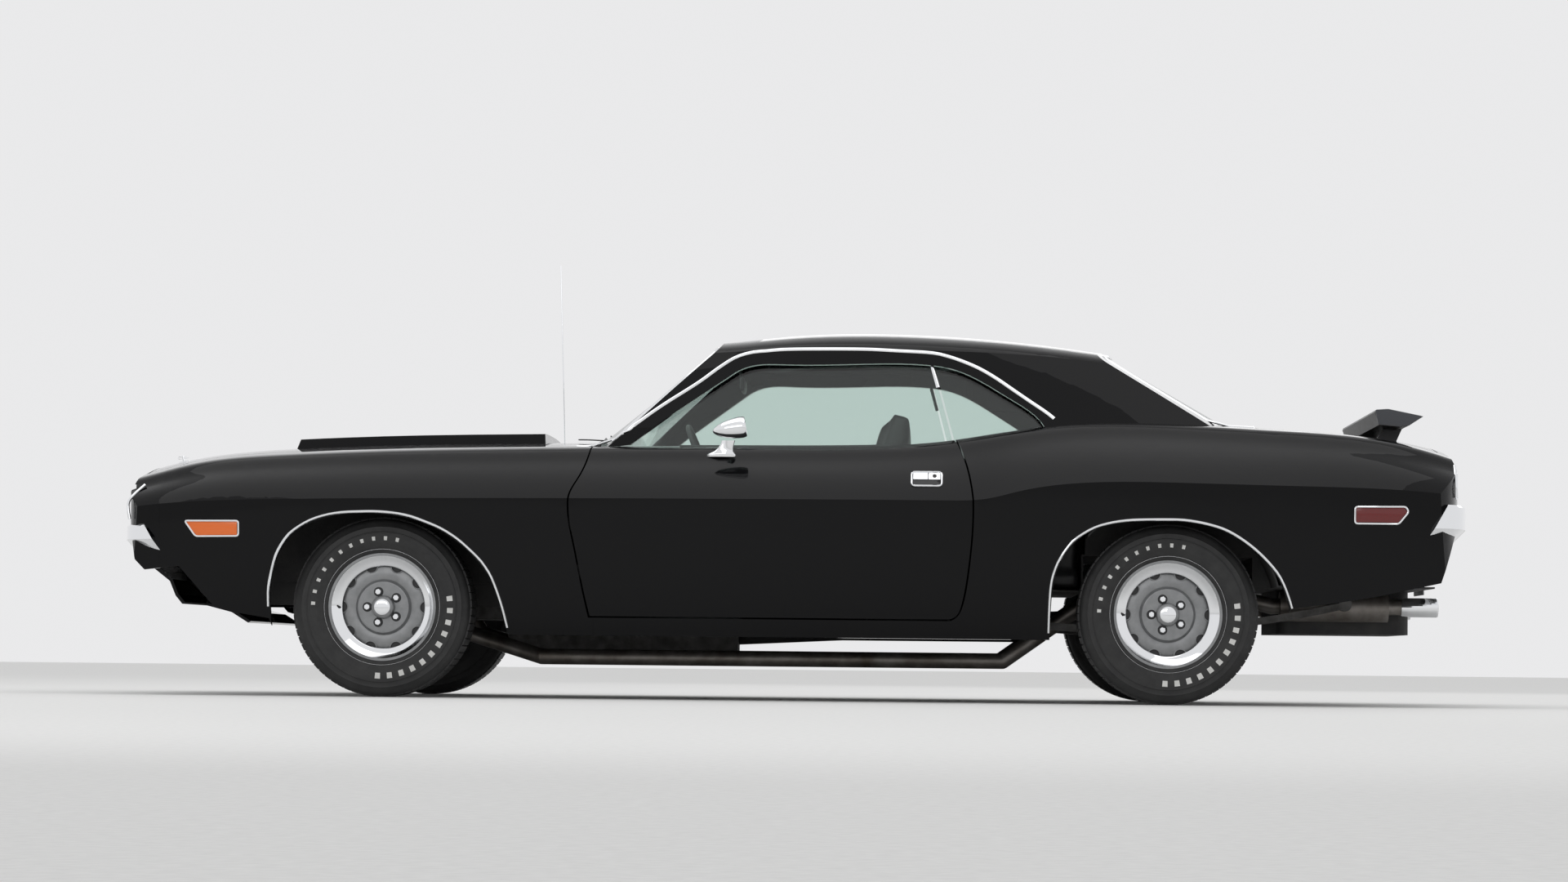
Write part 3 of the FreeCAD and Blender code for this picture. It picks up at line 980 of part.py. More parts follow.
mirror_head = Vector(x_of("mirror"), y_of("mirror"), z_of("mirror"))
mirror_r = size("mirror_diameter") / 2
mirror = Part.makeCone(mirror_r, mirror_r * 0.45, size("mirror_length"), mirror_head, along_x)
mirror = mirror.fuse(rod(mirror_head + along_x * mirror_r - Vector(0, 0, mirror_r * 0.5),
                         Vector(mirror_head.x + mirror_r * 2, mirror_head.y, HEIGHT * 0.55), mirror_r * 0.3))
mirror = mirror.cut([full_body, full_body.translated(Vector(0, 0, SEAT))])
mirror = sorted(mirror.Solids, key=lambda s: -s.BoundBox.ZMax)[0]
antenna_r = size("antenna_diameter") / 2
antenna_foot = Vector(x_of("antenna"), -y_of("antenna"), HEIGHT * 0.6)
antenna = rod(antenna_foot, Vector(antenna_foot.x + antenna_r * 12, antenna_foot.y,
                                   z_of("antenna_tip")), antenna_r).cut(full_body)
antenna = sorted(antenna.Solids, key=lambda s: -s.BoundBox.ZMax)[0]

keep("body_shell", shell.fuse(both_sides(deck_leaf)))
keep("cowl", cowl.fuse(both_sides(Part.makeCompound(door_leaves + [hood_leaf]))))
keep("fender_left", fender_left)
keep("fender_right", mirrored(fender_left))
keep("nose_panel", nose)
keep("hood", hood)
keep("deck_lid", deck)
keep("door_left", door_left)
keep("door_right", mirrored(door_left))
keep("door_glass_left", door_glass)
keep("door_glass_right", mirrored(door_glass))
keep("quarter_glass", both_sides(quarter_glass))
keep("windshield", windshield)
keep("backlight", backlight)

keep("floor_pan", floor)
keep("front_frame", front_frame)
keep("engine", engine)
keep("driveshaft", driveshaft)
keep("exhaust", exhaust)
keep("fuel_tank", tank)
keep("rear_axle", rear_axle)
keep("front_suspension", suspension)
keep("knuckle_left", knuckle)
keep("knuckle_right", mirrored(knuckle))
for end, axle, hub_y in (("front", FRONT_AXLE, hub_y_front), ("rear", REAR_AXLE, hub_y_rear)):
    place = Vector(axle, hub_y, TYRE_RADIUS)
    keep("tyre_%s_left" % end, tyre_shape.translated(place))
    keep("tyre_%s_right" % end, mirrored(tyre_shape.translated(place)))
    keep("wheel_%s_left" % end, wheel_shape.translated(place))
    keep("wheel_%s_right" % end, mirrored(wheel_shape.translated(place)))
keep("front_bumper", front_bumper)
keep("rear_bumper", rear_bumper)
keep("marker_lamps", both_sides(Part.makeCompound([front_marker, rear_marker, tail_lamp])))
keep("grille", grille)
keep("headlamps", headlamps)
keep("dashboard", dash.fuse(column))
keep("steering_wheel", steering)
keep("front_seat_left", seat)
keep("front_seat_right", mirrored(seat))
keep("rear_seat", rear_seat)
keep("rear_wing", wing)
keep("mirror_left", mirror)
keep("antenna", antenna)

doc.recompute()
for thing in doc.Objects:
    if {"Invalid", "Error"} & set(thing.State):
        raise ValueError("%s did not build" % thing.Label)
for label, thing in sub_parts.items():
    if thing.Shape.isNull() or not thing.Shape.isValid():
        raise ValueError("%s has no valid shape" % label)
for label, thing in sub_parts.items():
    thing.Shape.exportStep("parts/%s.step" % label)
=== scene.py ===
# %% [markdown]
# A muscle car, dressed around its engineering model.
# The frame holds every panel, wheel and hinge at its real size. This lesson gives them
# their finish, and adds the trim, tread, lamps and cabin that make the car look real.

# %% Load the frame
import json
import math
import bpy
from mathutils import Matrix, Vector

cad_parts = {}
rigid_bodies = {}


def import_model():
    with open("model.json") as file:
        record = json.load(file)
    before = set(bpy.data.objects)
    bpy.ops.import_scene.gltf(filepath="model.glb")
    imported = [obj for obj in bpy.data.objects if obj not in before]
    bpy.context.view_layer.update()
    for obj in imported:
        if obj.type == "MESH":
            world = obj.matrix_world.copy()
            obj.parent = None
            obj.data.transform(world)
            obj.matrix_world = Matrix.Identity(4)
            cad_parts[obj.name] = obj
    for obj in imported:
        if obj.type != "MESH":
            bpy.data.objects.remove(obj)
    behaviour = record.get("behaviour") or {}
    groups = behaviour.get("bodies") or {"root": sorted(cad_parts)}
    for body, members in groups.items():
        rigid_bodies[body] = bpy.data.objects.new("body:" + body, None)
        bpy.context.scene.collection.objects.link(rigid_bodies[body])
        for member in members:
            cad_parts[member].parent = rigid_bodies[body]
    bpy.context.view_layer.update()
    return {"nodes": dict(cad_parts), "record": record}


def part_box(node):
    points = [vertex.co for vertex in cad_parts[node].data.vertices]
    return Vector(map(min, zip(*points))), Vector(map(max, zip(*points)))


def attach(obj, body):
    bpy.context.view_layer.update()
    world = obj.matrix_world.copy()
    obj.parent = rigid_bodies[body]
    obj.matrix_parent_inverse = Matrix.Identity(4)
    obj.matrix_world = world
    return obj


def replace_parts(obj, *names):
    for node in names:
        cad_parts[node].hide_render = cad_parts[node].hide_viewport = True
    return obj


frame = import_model()
nodes = frame["nodes"]

# %% [markdown]
# The camera stands where the photographer stood: sixteen metres to the car's left, low over the
# road, with a long lens. Its tilt and roll were fitted to the wheels and the body's outline.

# %% Camera
CAMERA_PLACE = Vector((-0.4834, 16.0251, 0.1352))
CAMERA_YAW = -0.03381
CAMERA_PITCH = 0.051936
CAMERA_ROLL = 0.010271
LENS_MM = 98.04
SENSOR_MM = 36.0

look = Vector((-math.sin(CAMERA_YAW) * math.cos(CAMERA_PITCH),
               -math.cos(CAMERA_YAW) * math.cos(CAMERA_PITCH), math.sin(CAMERA_PITCH)))
level_right = look.cross(Vector((0, 0, 1))).normalized()
level_up = level_right.cross(look)
camera_right = math.cos(CAMERA_ROLL) * level_right + math.sin(CAMERA_ROLL) * level_up
camera_up = math.cos(CAMERA_ROLL) * level_up - math.sin(CAMERA_ROLL) * level_right
turn = Matrix((camera_right, camera_up, -look)).transposed().to_4x4()
camera = bpy.data.objects.new("camera", bpy.data.cameras.new("camera"))
camera.data.lens = LENS_MM
camera.data.sensor_width = SENSOR_MM
camera.data.clip_start = 0.1
camera.data.clip_end = 500
camera.matrix_world = Matrix.Translation(CAMERA_PLACE) @ turn
bpy.context.scene.collection.objects.link(camera)
bpy.context.scene.camera = camera
print("camera looks along", [round(v, 4) for v in look])

# %% [markdown]
# Black gloss paint shows nothing but its surroundings, so the studio is the paint job's other
# half: a pale floor, a pale sky, one large soft box overhead and two soft side lights. Camera,
# mirror and glass rays see a fixed pale grey, and all other rays take the sky's own light.

# %% Studio
FLOOR_HALF = 70.0
SKY_GREY = 0.82
SKY_LIGHT = 0.8
view_settings = bpy.context.scene.view_settings
view_settings.view_transform = "Standard"


def bare():
    """Nothing selected, object mode."""
    if bpy.context.object and bpy.context.object.mode != "OBJECT":
        bpy.ops.object.mode_set(mode="OBJECT")
    bpy.ops.object.select_all(action="DESELECT")


world = bpy.data.worlds.new("studio")
bpy.context.scene.world = world
world.use_nodes = True
world_tree = world.node_tree
background = world_tree.nodes["Background"]
background.inputs["Color"].default_value = (1.0, 1.0, 1.0, 1)
background.inputs["Strength"].default_value = SKY_LIGHT
seen = world_tree.nodes.new("ShaderNodeBackground")
seen.inputs["Color"].default_value = (SKY_GREY, SKY_GREY, SKY_GREY * 1.01, 1)
path = world_tree.nodes.new("ShaderNodeLightPath")
either = world_tree.nodes.new("ShaderNodeMath")
either.operation = "MAXIMUM"
any_ray = world_tree.nodes.new("ShaderNodeMath")
any_ray.operation = "MAXIMUM"
mix_sky = world_tree.nodes.new("ShaderNodeMixShader")
for source, target in ((path.outputs["Is Camera Ray"], either.inputs[0]),
                       (path.outputs["Is Glossy Ray"], either.inputs[1]),
                       (either.outputs[0], any_ray.inputs[0]),
                       (path.outputs["Is Transmission Ray"], any_ray.inputs[1]),
                       (any_ray.outputs[0], mix_sky.inputs[0]),
                       (background.outputs[0], mix_sky.inputs[1]),
                       (seen.outputs[0], mix_sky.inputs[2]),
                       (mix_sky.outputs[0], world_tree.nodes["World Output"].inputs["Surface"])):
    world_tree.links.new(source, target)


def soft_box(name, place, target, width, depth, power):
    light = bpy.data.objects.new(name, bpy.data.lights.new(name, "AREA"))
    light.data.shape = "RECTANGLE"
    light.data.size = width
    light.data.size_y = depth
    light.data.energy = power
    light.location = place
    light.rotation_euler = (Vector(target) - Vector(place)).to_track_quat("-Z", "Y").to_euler()
    bpy.context.scene.collection.objects.link(light)


soft_box("overhead", (0.3, 1.0, 6.5), (0, 0, 0.6), 9.0, 5.0, 120)
soft_box("side_left", (2.5, 9.5, 3.4), (0, 0, 0.6), 8.0, 2.4, 60)
soft_box("side_right", (-3.0, -9.0, 4.2), (0, 0, 0.6), 8.0, 3.0, 60)

# %% [markdown]
# Materials come from one short maker of a Principled shader. Each finish then adds its own
# fine structure: orange peel in paint, grain in vinyl, ribs in rubber, haze on cast metal.
# Constants sit on the shader's own sockets; only varying things are linked.

# %% Material helpers
def shader(name, colour, roughness, metallic=0.0, coat=0.0, coat_roughness=0.03):
    material = bpy.data.materials.new(name)
    material.use_nodes = True
    surface = material.node_tree.nodes["Principled BSDF"]
    for socket, value in (("Base Color", (*colour, 1)), ("Roughness", roughness), ("Metallic", metallic),
                          ("Coat Weight", coat), ("Coat Roughness", coat_roughness), ("IOR", 1.5)):
        surface.inputs[socket].default_value = value
    material.diffuse_color = (*colour, 1)
    return material, surface


def add(material, kind, **settings):
    node = material.node_tree.nodes.new(kind)
    for key, value in settings.items():
        if key in node.inputs:
            node.inputs[key].default_value = value
        else:
            setattr(node, key, value)
    return node


def link(material, source, target):
    material.node_tree.links.new(source, target)


def object_coordinates(material):
    return add(material, "ShaderNodeTexCoord").outputs["Object"]


def noise(material, scale, detail=4.0, roughness=0.55):
    node = add(material, "ShaderNodeTexNoise", Scale=scale, Detail=detail, Roughness=roughness)
    link(material, object_coordinates(material), node.inputs["Vector"])
    return node.outputs["Fac"]


def bump(material, surface, height, strength, distance, coat=False):
    node = add(material, "ShaderNodeBump", Strength=strength, Distance=distance)
    link(material, height, node.inputs["Height"])
    link(material, node.outputs["Normal"], surface.inputs["Normal"])
    if coat:
        link(material, node.outputs["Normal"], surface.inputs["Coat Normal"])


def vary(material, surface, socket, factor, low, high):
    """Lets a value wander between two amounts with a pattern."""
    node = add(material, "ShaderNodeMapRange")
    node.inputs["To Min"].default_value = low
    node.inputs["To Max"].default_value = high
    link(material, factor, node.inputs["Value"])
    link(material, node.outputs["Result"], surface.inputs[socket])


def tint(material, surface, factor, first, second):
    """Lets the colour wander between two tones with a pattern."""
    ramp = add(material, "ShaderNodeValToRGB")
    ramp.color_ramp.elements[0].position = 0.32
    ramp.color_ramp.elements[1].position = 0.68
    ramp.color_ramp.elements[0].color = (*first, 1)
    ramp.color_ramp.elements[1].color = (*second, 1)
    link(material, factor, ramp.inputs["Fac"])
    link(material, ramp.outputs["Color"], surface.inputs["Base Color"])


def make_finish(name, colour, roughness, tones=None, rough=None, grain=None, **more):
    """A shader whose tone, roughness and surface each wander with a noise of their own scale."""
    material, surface = shader(name, colour, roughness, **more)
    if tones:
        tint(material, surface, noise(material, tones[0]), *tones[1:])
    if rough:
        vary(material, surface, "Roughness", noise(material, rough[0]), *rough[1:])
    if grain:
        bump(material, surface, noise(material, grain[0]), *grain[1:])
    return material


# %% [markdown]
# The floor is pale asphalt-grey with the faintest mottling, so that the tyres' shadows read well
# and the sills pick up a soft glow from below. It belongs to the stage, not to the car.

# %% Floor
floor_finish = make_finish("pale_floor", (0.74, 0.74, 0.735), 0.75,
                           tones=(60.0, (0.71, 0.71, 0.705), (0.77, 0.77, 0.765)))
bare()
bpy.ops.mesh.primitive_circle_add(vertices=96, radius=FLOOR_HALF, fill_type="NGON")
floor = bpy.context.object
floor.name = "studio_floor"
floor.data.materials.append(floor_finish)
print("floor radius", FLOOR_HALF)

# %% [markdown]
# Black paint: an almost black base under a clear coat. Real lacquer is never optically flat, so
# a very shallow slow ripple bends the reflections a little.

# %% Paint and bright metal
paint, surface = shader("gloss_black_paint", (0.0025, 0.0025, 0.003), 0.4, coat=1.0, coat_roughness=0.012)
surface.inputs["Specular IOR Level"].default_value = 0.02
surface.inputs["Coat IOR"].default_value = 1.26
bump(paint, surface, noise(paint, 9.0, 2.0, 0.4), 0.1, 0.0012, coat=True)
vary(paint, surface, "Roughness", noise(paint, 40.0), 0.3, 0.42)

chrome, surface = shader("bright_chrome", (0.86, 0.87, 0.885), 0.05, metallic=1.0)
vary(chrome, surface, "Roughness", noise(chrome, 25.0), 0.03, 0.09)
bump(chrome, surface, noise(chrome, 14.0, 2.0, 0.4), 0.06, 0.0008)

satin_black = make_finish("satin_black", (0.018, 0.018, 0.019), 0.42, rough=(55.0, 0.36, 0.5),
                          grain=(700.0, 0.12, 0.0003))

argent = make_finish("argent_wheel_paint", (0.24, 0.245, 0.25), 0.36, metallic=0.6, coat=0.35,
                     coat_roughness=0.2, tones=(30.0, (0.22, 0.225, 0.23), (0.27, 0.275, 0.28)),
                     grain=(900.0, 0.08, 0.0002))

# %% [markdown]
# Underneath, nothing shines: undercoat, cast iron and a scale-brown exhaust. Each one's tone
# wanders a little over its surface, as grime does.

# %% Underbody finishes
undercoat = make_finish("undercoat", (0.022, 0.022, 0.023), 0.72,
                        tones=(12.0, (0.016, 0.016, 0.017), (0.034, 0.033, 0.032)),
                        grain=(260.0, 0.45, 0.0012))

cast_iron = make_finish("cast_iron", (0.09, 0.09, 0.095), 0.6, metallic=0.75,
                        tones=(22.0, (0.06, 0.058, 0.056), (0.13, 0.128, 0.125)),
                        grain=(320.0, 0.4, 0.0009))

exhaust_steel = make_finish("exhaust_steel", (0.19, 0.175, 0.16), 0.45, metallic=0.9,
                            tones=(9.0, (0.1, 0.085, 0.07), (0.26, 0.245, 0.23)),
                            grain=(400.0, 0.2, 0.0005))

rubber = make_finish("tyre_rubber", (0.013, 0.013, 0.0135), 0.6,
                     tones=(18.0, (0.01, 0.01, 0.0105), (0.02, 0.02, 0.02)), rough=(70.0, 0.5, 0.7),
                     grain=(1500.0, 0.15, 0.0002))

# %% [markdown]
# Glass is lightly green. A thin pane is better as a clear sheet that tints what is behind it than
# as a thick lens, so it mixes a tinted transparency with a clear mirror. The mirror grows
# towards the rim by the fifth power, equally on both faces, as on a real thin sheet.

# %% Glass
MIRROR_LEAST, MIRROR_RISE = 0.05, 0.9


def pane(name, tone, mirror):
    material = bpy.data.materials.new(name)
    material.use_nodes = True
    tree = material.node_tree
    clear = add(material, "ShaderNodeBsdfTransparent", Color=(*tone, 1))
    mirror_coat = add(material, "ShaderNodeBsdfGlossy", Roughness=mirror)
    slant = add(material, "ShaderNodeLayerWeight", Blend=0.5)
    power = add(material, "ShaderNodeMath", operation="POWER")
    power.inputs[1].default_value = 5.0
    share = add(material, "ShaderNodeMath", operation="MULTIPLY_ADD")
    share.inputs[1].default_value = MIRROR_RISE
    share.inputs[2].default_value = MIRROR_LEAST
    link(material, slant.outputs["Facing"], power.inputs[0])
    link(material, power.outputs[0], share.inputs[0])
    mixed = add(material, "ShaderNodeMixShader")
    link(material, share.outputs[0], mixed.inputs[0])
    link(material, clear.outputs[0], mixed.inputs[1])
    link(material, mirror_coat.outputs[0], mixed.inputs[2])
    tree.nodes.remove(tree.nodes["Principled BSDF"])
    link(material, mixed.outputs[0], tree.nodes["Material Output"].inputs["Surface"])
    return material


tinted_glass = pane("tinted_glass", (0.88, 0.935, 0.915), 0.01)
lamp_glass = pane("lamp_glass", (0.93, 0.94, 0.95), 0.01)

lens_red = make_finish("lens_red", (0.13, 0.0025, 0.0025), 0.12, coat=0.35, rough=(200.0, 0.08, 0.2))
reflector = make_finish("lamp_reflector", (0.62, 0.63, 0.65), 0.28, metallic=1.0,
                        rough=(120.0, 0.22, 0.34))
lens_amber = make_finish("lens_amber", (0.8, 0.15, 0.01), 0.12, coat=0.5, rough=(200.0, 0.08, 0.2))

# %% [markdown]
# The cabin is black vinyl: a grain of small cells on seats and pads, a finer one on hard trim.
# The edges of a cell pattern are the grooves of the grain.

# %% Cabin finishes
def grained(name, tone, roughness, scale, strength):
    material, surface = shader(name, tone, roughness)
    cells = add(material, "ShaderNodeTexVoronoi", Scale=scale, feature="DISTANCE_TO_EDGE")
    link(material, object_coordinates(material), cells.inputs["Vector"])
    bump(material, surface, cells.outputs["Distance"], strength, 0.0006)
    vary(material, surface, "Roughness", noise(material, 35.0), roughness - 0.07, roughness + 0.08)
    return material


vinyl = grained("black_vinyl", (0.017, 0.017, 0.018), 0.45, 420.0, 0.35)
hard_trim = grained("hard_trim", (0.014, 0.014, 0.015), 0.52, 700.0, 0.3)

# %% [markdown]
# Each CAD node gets the finish of its material slot. The same table later says which slot a
# new piece wears, from its finish.

# %% Dress the CAD nodes
FINISHES = {
    "body_paint": paint, "tinted_glass": tinted_glass, "underbody": undercoat, "cast_iron": cast_iron,
    "exhaust_steel": exhaust_steel, "bright_chrome": chrome, "lamp_lens": lens_red,
    "black_trim": satin_black, "lamp_glass": lamp_glass, "interior_trim": hard_trim,
    "seat_vinyl": vinyl, "tyre_rubber": rubber, "wheel_steel": argent,
}
for row in frame["record"]["subparts"]:
    node = nodes[row["node"]]
    node.data.materials.clear()
    node.data.materials.append(FINISHES[row["material_slot"]])
nodes["headlamps"].data.materials.clear()
nodes["headlamps"].data.materials.append(reflector)
print("dressed", len(nodes), "nodes")

# %% [markdown]
# Every trim sits on a panel, so its points are found by a ray that is cast at the panel from
# outside. The same few moves then make most pieces: a small face is pulled along a line of
# points, or a profile is spun about an axle.

# %% Find the panels' surface
from mathutils.bvhtree import BVHTree
from mathutils.geometry import convex_hull_2d

FAR = 4.0


def surface_tree(piece):
    mesh = piece.data
    return BVHTree.FromPolygons([v.co for v in mesh.vertices], [tuple(f.vertices) for f in mesh.polygons])


TREES = {name: surface_tree(node) for name, node in nodes.items()}


def on_panel(start, way, names):
    """The first point of the named panels that a ray meets, with the surface's direction."""
    hits = []
    for name in names:
        place, normal, _, distance = TREES[name].ray_cast(Vector(start), Vector(way))
        if place:
            if normal.dot(Vector(way)) > 0:
                normal = -normal
            hits.append((distance, place, normal))
    if not hits:
        return None
    _, place, normal = min(hits, key=lambda hit: hit[0])
    return place, normal


def trace(places, way, names):
    """Drops a line of points on the panels along one direction."""
    way = Vector(way)
    found = []
    for place in places:
        hit = on_panel(Vector(place) - way * FAR, way, names)
        if hit:
            found.append(hit)
    return [hit[0] for hit in found], [hit[1] for hit in found]


def walk(points, steps):
    """Walks along a line of points in even steps."""
    reach = [0.0]
    for a, b in zip(points, points[1:]):
        reach.append(reach[-1] + (b - a).length)
    even, k = [], 0
    for step in range(steps + 1):
        want = reach[-1] * step / steps
        while k < len(points) - 2 and reach[k + 1] < want:
            k += 1
        share = (want - reach[k]) / max(reach[k + 1] - reach[k], 1e-9)
        even.append(points[k].lerp(points[k + 1], min(max(share, 0.0), 1.0)))
    return even


def smooth_line(points, steps):
    """Passes a soft curve through measured points and walks it in even steps."""
    points = [Vector(p) for p in points]
    fine = []
    for k in range(len(points) - 1):
        before, here = points[max(k - 1, 0)], points[k]
        after, beyond = points[k + 1], points[min(k + 2, len(points) - 1)]
        for part in range(12):
            t = part / 12
            fine.append(0.5 * (2 * here + (after - before) * t
                               + (2 * before - 5 * here + 4 * after - beyond) * t * t
                               + (3 * here - before - 3 * after + beyond) * t ** 3))
    return walk(fine + points[-1:], steps)


print("surfaces ready on", len(TREES), "nodes")

# %% [markdown]
# Two modelling moves are used again and again. A strip starts as one small oval face that is
# extruded from point to point and turned at each, as mouldings are rolled. A turned piece
# starts as one point, is extruded into a profile and spun round.

# %% Modelling moves
SIDES = (("left", 1), ("right", -1))
SLOT_OF = {material.name: slot for slot, material in FINISHES.items()}
SLOT_OF.update(lens_amber="lamp_lens", wing_end_grey="black_trim", plate_white="black_trim",
               seam_thread="seat_vinyl", dial_face="interior_trim", dial_mark="interior_trim")
WORN = {}


def start_edit(select="SELECT"):
    bpy.ops.object.mode_set(mode="EDIT")
    bpy.ops.mesh.select_mode(type="VERT")
    bpy.ops.mesh.select_all(action=select)


def settle():
    """Writes the active piece's place, turn and size into its mesh."""
    bpy.ops.object.transform_apply(location=True, rotation=True, scale=True)


def pick(piece):
    """Selects one piece alone."""
    bare()
    piece.select_set(True)
    bpy.context.view_layer.objects.active = piece


def face_outwards():
    bpy.ops.mesh.select_all(action="SELECT")
    bpy.ops.mesh.normals_make_consistent(inside=False)


def enlist(piece, name, body, slot):
    """Names a piece, and says which body it rides on and which slot it wears."""
    piece.name = name
    piece.data.name = name
    WORN[name] = slot or SLOT_OF[piece.data.materials[0].name]
    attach(piece, body)
    return piece


def close_piece(name, finish, body="body", slot=None, angle=35.0):
    """Ends the modelling of the active piece, and gives it its name, finish and body."""
    piece = bpy.context.object
    pick(piece)
    settle()
    bpy.ops.object.shade_smooth_by_angle(angle=math.radians(angle))
    if not piece.data.materials:
        piece.data.materials.append(finish)
    return enlist(piece, name, body, slot)


def section_frames(points, faces, closed):
    rows = []
    count = len(points)
    for k, face in enumerate(faces):
        before = points[(k - 1) % count if closed else max(k - 1, 0)]
        after = points[(k + 1) % count if closed else min(k + 1, count - 1)]
        run = (after - before).normalized()
        out = (face - run * face.dot(run)).normalized()
        rows.append(Matrix((out.cross(run), out, run)).transposed())
    return rows


def extrude(move):
    bpy.ops.mesh.extrude_region_move(TRANSFORM_OT_translate={"value": move})


def rotate(angle, axis, centre=(0, 0, 0)):
    """Turns what is selected. In the background this operator turns the other way."""
    bpy.ops.transform.rotate(value=-angle, orient_axis=axis, orient_type="GLOBAL", center_override=centre)


def repeat_round(copies, step, axis):
    """Repeats the selected faces round an axis through the origin."""
    for _ in range(copies):
        bpy.ops.mesh.duplicate()
        rotate(step, axis)


def strip(name, points, faces, width, height, finish, body="body", closed=False, corners=10):
    """Pulls a small oval face along the points. Faces say which way is out of the panel."""
    points = [Vector(p) for p in points]
    if not isinstance(faces, list):
        faces = [Vector(faces)] * len(points)
    frames = section_frames(points, faces, closed)
    bare()
    bpy.ops.mesh.primitive_circle_add(vertices=corners, radius=0.5, fill_type="NGON", location=points[0],
                                      rotation=frames[0].to_euler())
    bpy.context.object.scale = (width, height, 1)
    settle()
    start_edit()
    last = 0
    for k in list(range(1, len(points))) + ([0] if closed else []):
        extrude(points[k] - points[last])
        turn_by = (frames[k] @ frames[last].inverted()).to_euler("XYZ")
        for axis, angle in zip("XYZ", turn_by):
            if abs(angle) > 1e-6:
                rotate(angle, axis, points[k])
        last = k
    if closed:
        bpy.ops.mesh.delete(type="ONLY_FACE")
        bpy.ops.object.mode_set(mode="OBJECT")
        for face in bpy.context.object.data.polygons:
            face.select = len(face.vertices) == corners
        bpy.ops.object.mode_set(mode="EDIT")
        bpy.ops.mesh.select_mode(type="FACE")
        bpy.ops.mesh.delete(type="ONLY_FACE")
        start_edit()
        bpy.ops.mesh.remove_doubles(threshold=0.0002)
    face_outwards()
    return close_piece(name, finish, body)


def draw(path):
    """Starts a mesh as one point and extrudes it along a path."""
    bare()
    bpy.ops.mesh.primitive_plane_add(size=0.01, location=path[0])
    settle()
    start_edit()
    bpy.ops.mesh.merge(type="CENTER")
    for a, b in zip(path, path[1:]):
        extrude(b - a)
    bpy.ops.mesh.select_all(action="SELECT")
    bpy.ops.mesh.remove_doubles(threshold=0.00002)


def turned(profile, steps, finish, axis=(0, 1, 0), closed=False):
    """Spins a profile of (radius, along) points about an axis through the origin."""
    axis = Vector(axis)
    side = axis.orthogonal().normalized()
    path = [side * r + axis * y for r, y in profile]
    draw(path + path[:1] if closed else path)
    bpy.ops.mesh.spin(steps=steps, angle=2 * math.pi, center=(0, 0, 0), axis=axis)
    bpy.ops.mesh.select_all(action="SELECT")
    bpy.ops.mesh.remove_doubles(threshold=0.00004)
    bpy.ops.mesh.normals_make_consistent(inside=False)
    bpy.ops.object.mode_set(mode="OBJECT")
    bpy.context.object.data.materials.append(finish)
    return bpy.context.object


def flat_plate(name, outline, thick, finish, body):
    """A plate: its outline is drawn, filled and extruded."""
    draw(outline + outline[:1])
    bpy.ops.mesh.edge_face_add()
    extrude(thick)
    face_outwards()
    return close_piece(name, finish, body)


def moved_copy(piece, name, place=(0, 0, 0), turned_by=(0, 0, 0), body="body", slot=None):
    """A copy with its own mesh, put at its place and then settled into it."""
    pick(piece)
    bpy.ops.object.duplicate(linked=False)
    copy = bpy.context.object
    copy.location = place
    copy.rotation_euler = turned_by
    settle()
    return enlist(copy, name, body, slot)


def drop(*pieces):
    for piece in pieces:
        bpy.data.objects.remove(piece)


def put(piece, name, place, turned_by=(0, 0, 0), body="body"):
    """Takes a piece that was made at the origin to its one place."""
    moved_copy(piece, name, place, turned_by, body)
    drop(piece)


def block(name, low, high, bevel, finish, body="body", slot=None):
    """A bar or plate with soft edges between two corners."""
    bare()
    middle = [(a + b) / 2 for a, b in zip(low, high)]
    bpy.ops.mesh.primitive_cube_add(size=1, location=middle)
    bpy.context.object.scale = [b - a for a, b in zip(low, high)]
    settle()
    start_edit()
    bpy.ops.mesh.bevel(offset=bevel, segments=3, affect="EDGES")
    return close_piece(name, finish, body, slot)


def bar_with_soft_edges(sides, radius, depth, place, turned_by, bevel, finish):
    """A many-sided bar with bevelled edges."""
    bare()
    bpy.ops.mesh.primitive_cylinder_add(vertices=sides, radius=radius, depth=depth, location=place,
                                        rotation=turned_by)
    settle()
    start_edit()
    bpy.ops.mesh.bevel(offset=bevel, segments=2, affect="EDGES")
    bpy.ops.object.mode_set(mode="OBJECT")
    bpy.context.object.data.materials.append(finish)
    return bpy.context.object


def rounded(value, digits=3):
    return [round(part, digits) for part in value]


print("modelling moves ready")

# %% [markdown]
# The tyre is a turned profile: bead, a ridged sidewall, a round shoulder and a tread. The tread
# starts one groove deep, and each of its small faces is inset and raised, which leaves the
# grooves between the blocks. One tyre is made at the origin and copied to the four hubs.

# %% Tyre
WHEEL_PLACES = {"front_left": (1.457, 0.758, 0.32), "front_right": (1.457, -0.758, 0.32),
                "rear_left": (-1.337, 0.771, 0.32), "rear_right": (-1.337, -0.771, 0.32)}
TREAD_FOOT, TREAD_BLOCK, TYRE_SEGMENTS = 0.3138, 0.006, 72
SIDE_PROFILE = [(0.1885, 0.0885), (0.19, 0.0925), (0.1965, 0.0985), (0.204, 0.1005), (0.2065, 0.0995),
                (0.21, 0.102), (0.218, 0.105), (0.229, 0.108), (0.231, 0.1088), (0.233, 0.1092),
                (0.257, 0.1108), (0.264, 0.1112), (0.2655, 0.1126), (0.2675, 0.1126), (0.269, 0.1108),
                (0.282, 0.1084), (0.286, 0.1092), (0.288, 0.107), (0.299, 0.102), (0.308, 0.095),
                (0.3125, 0.088), (TREAD_FOOT, 0.084)]
TREAD_EDGES = [(TREAD_FOOT, y) for y in (0.056, 0.028, 0.0, -0.028, -0.056)]
tyre_profile = SIDE_PROFILE + TREAD_EDGES + [(r, -y) for r, y in reversed(SIDE_PROFILE)]
TREAD_FROM, TREAD_HALF, GROOVE_HALF = 0.3125, 0.083, 0.0022
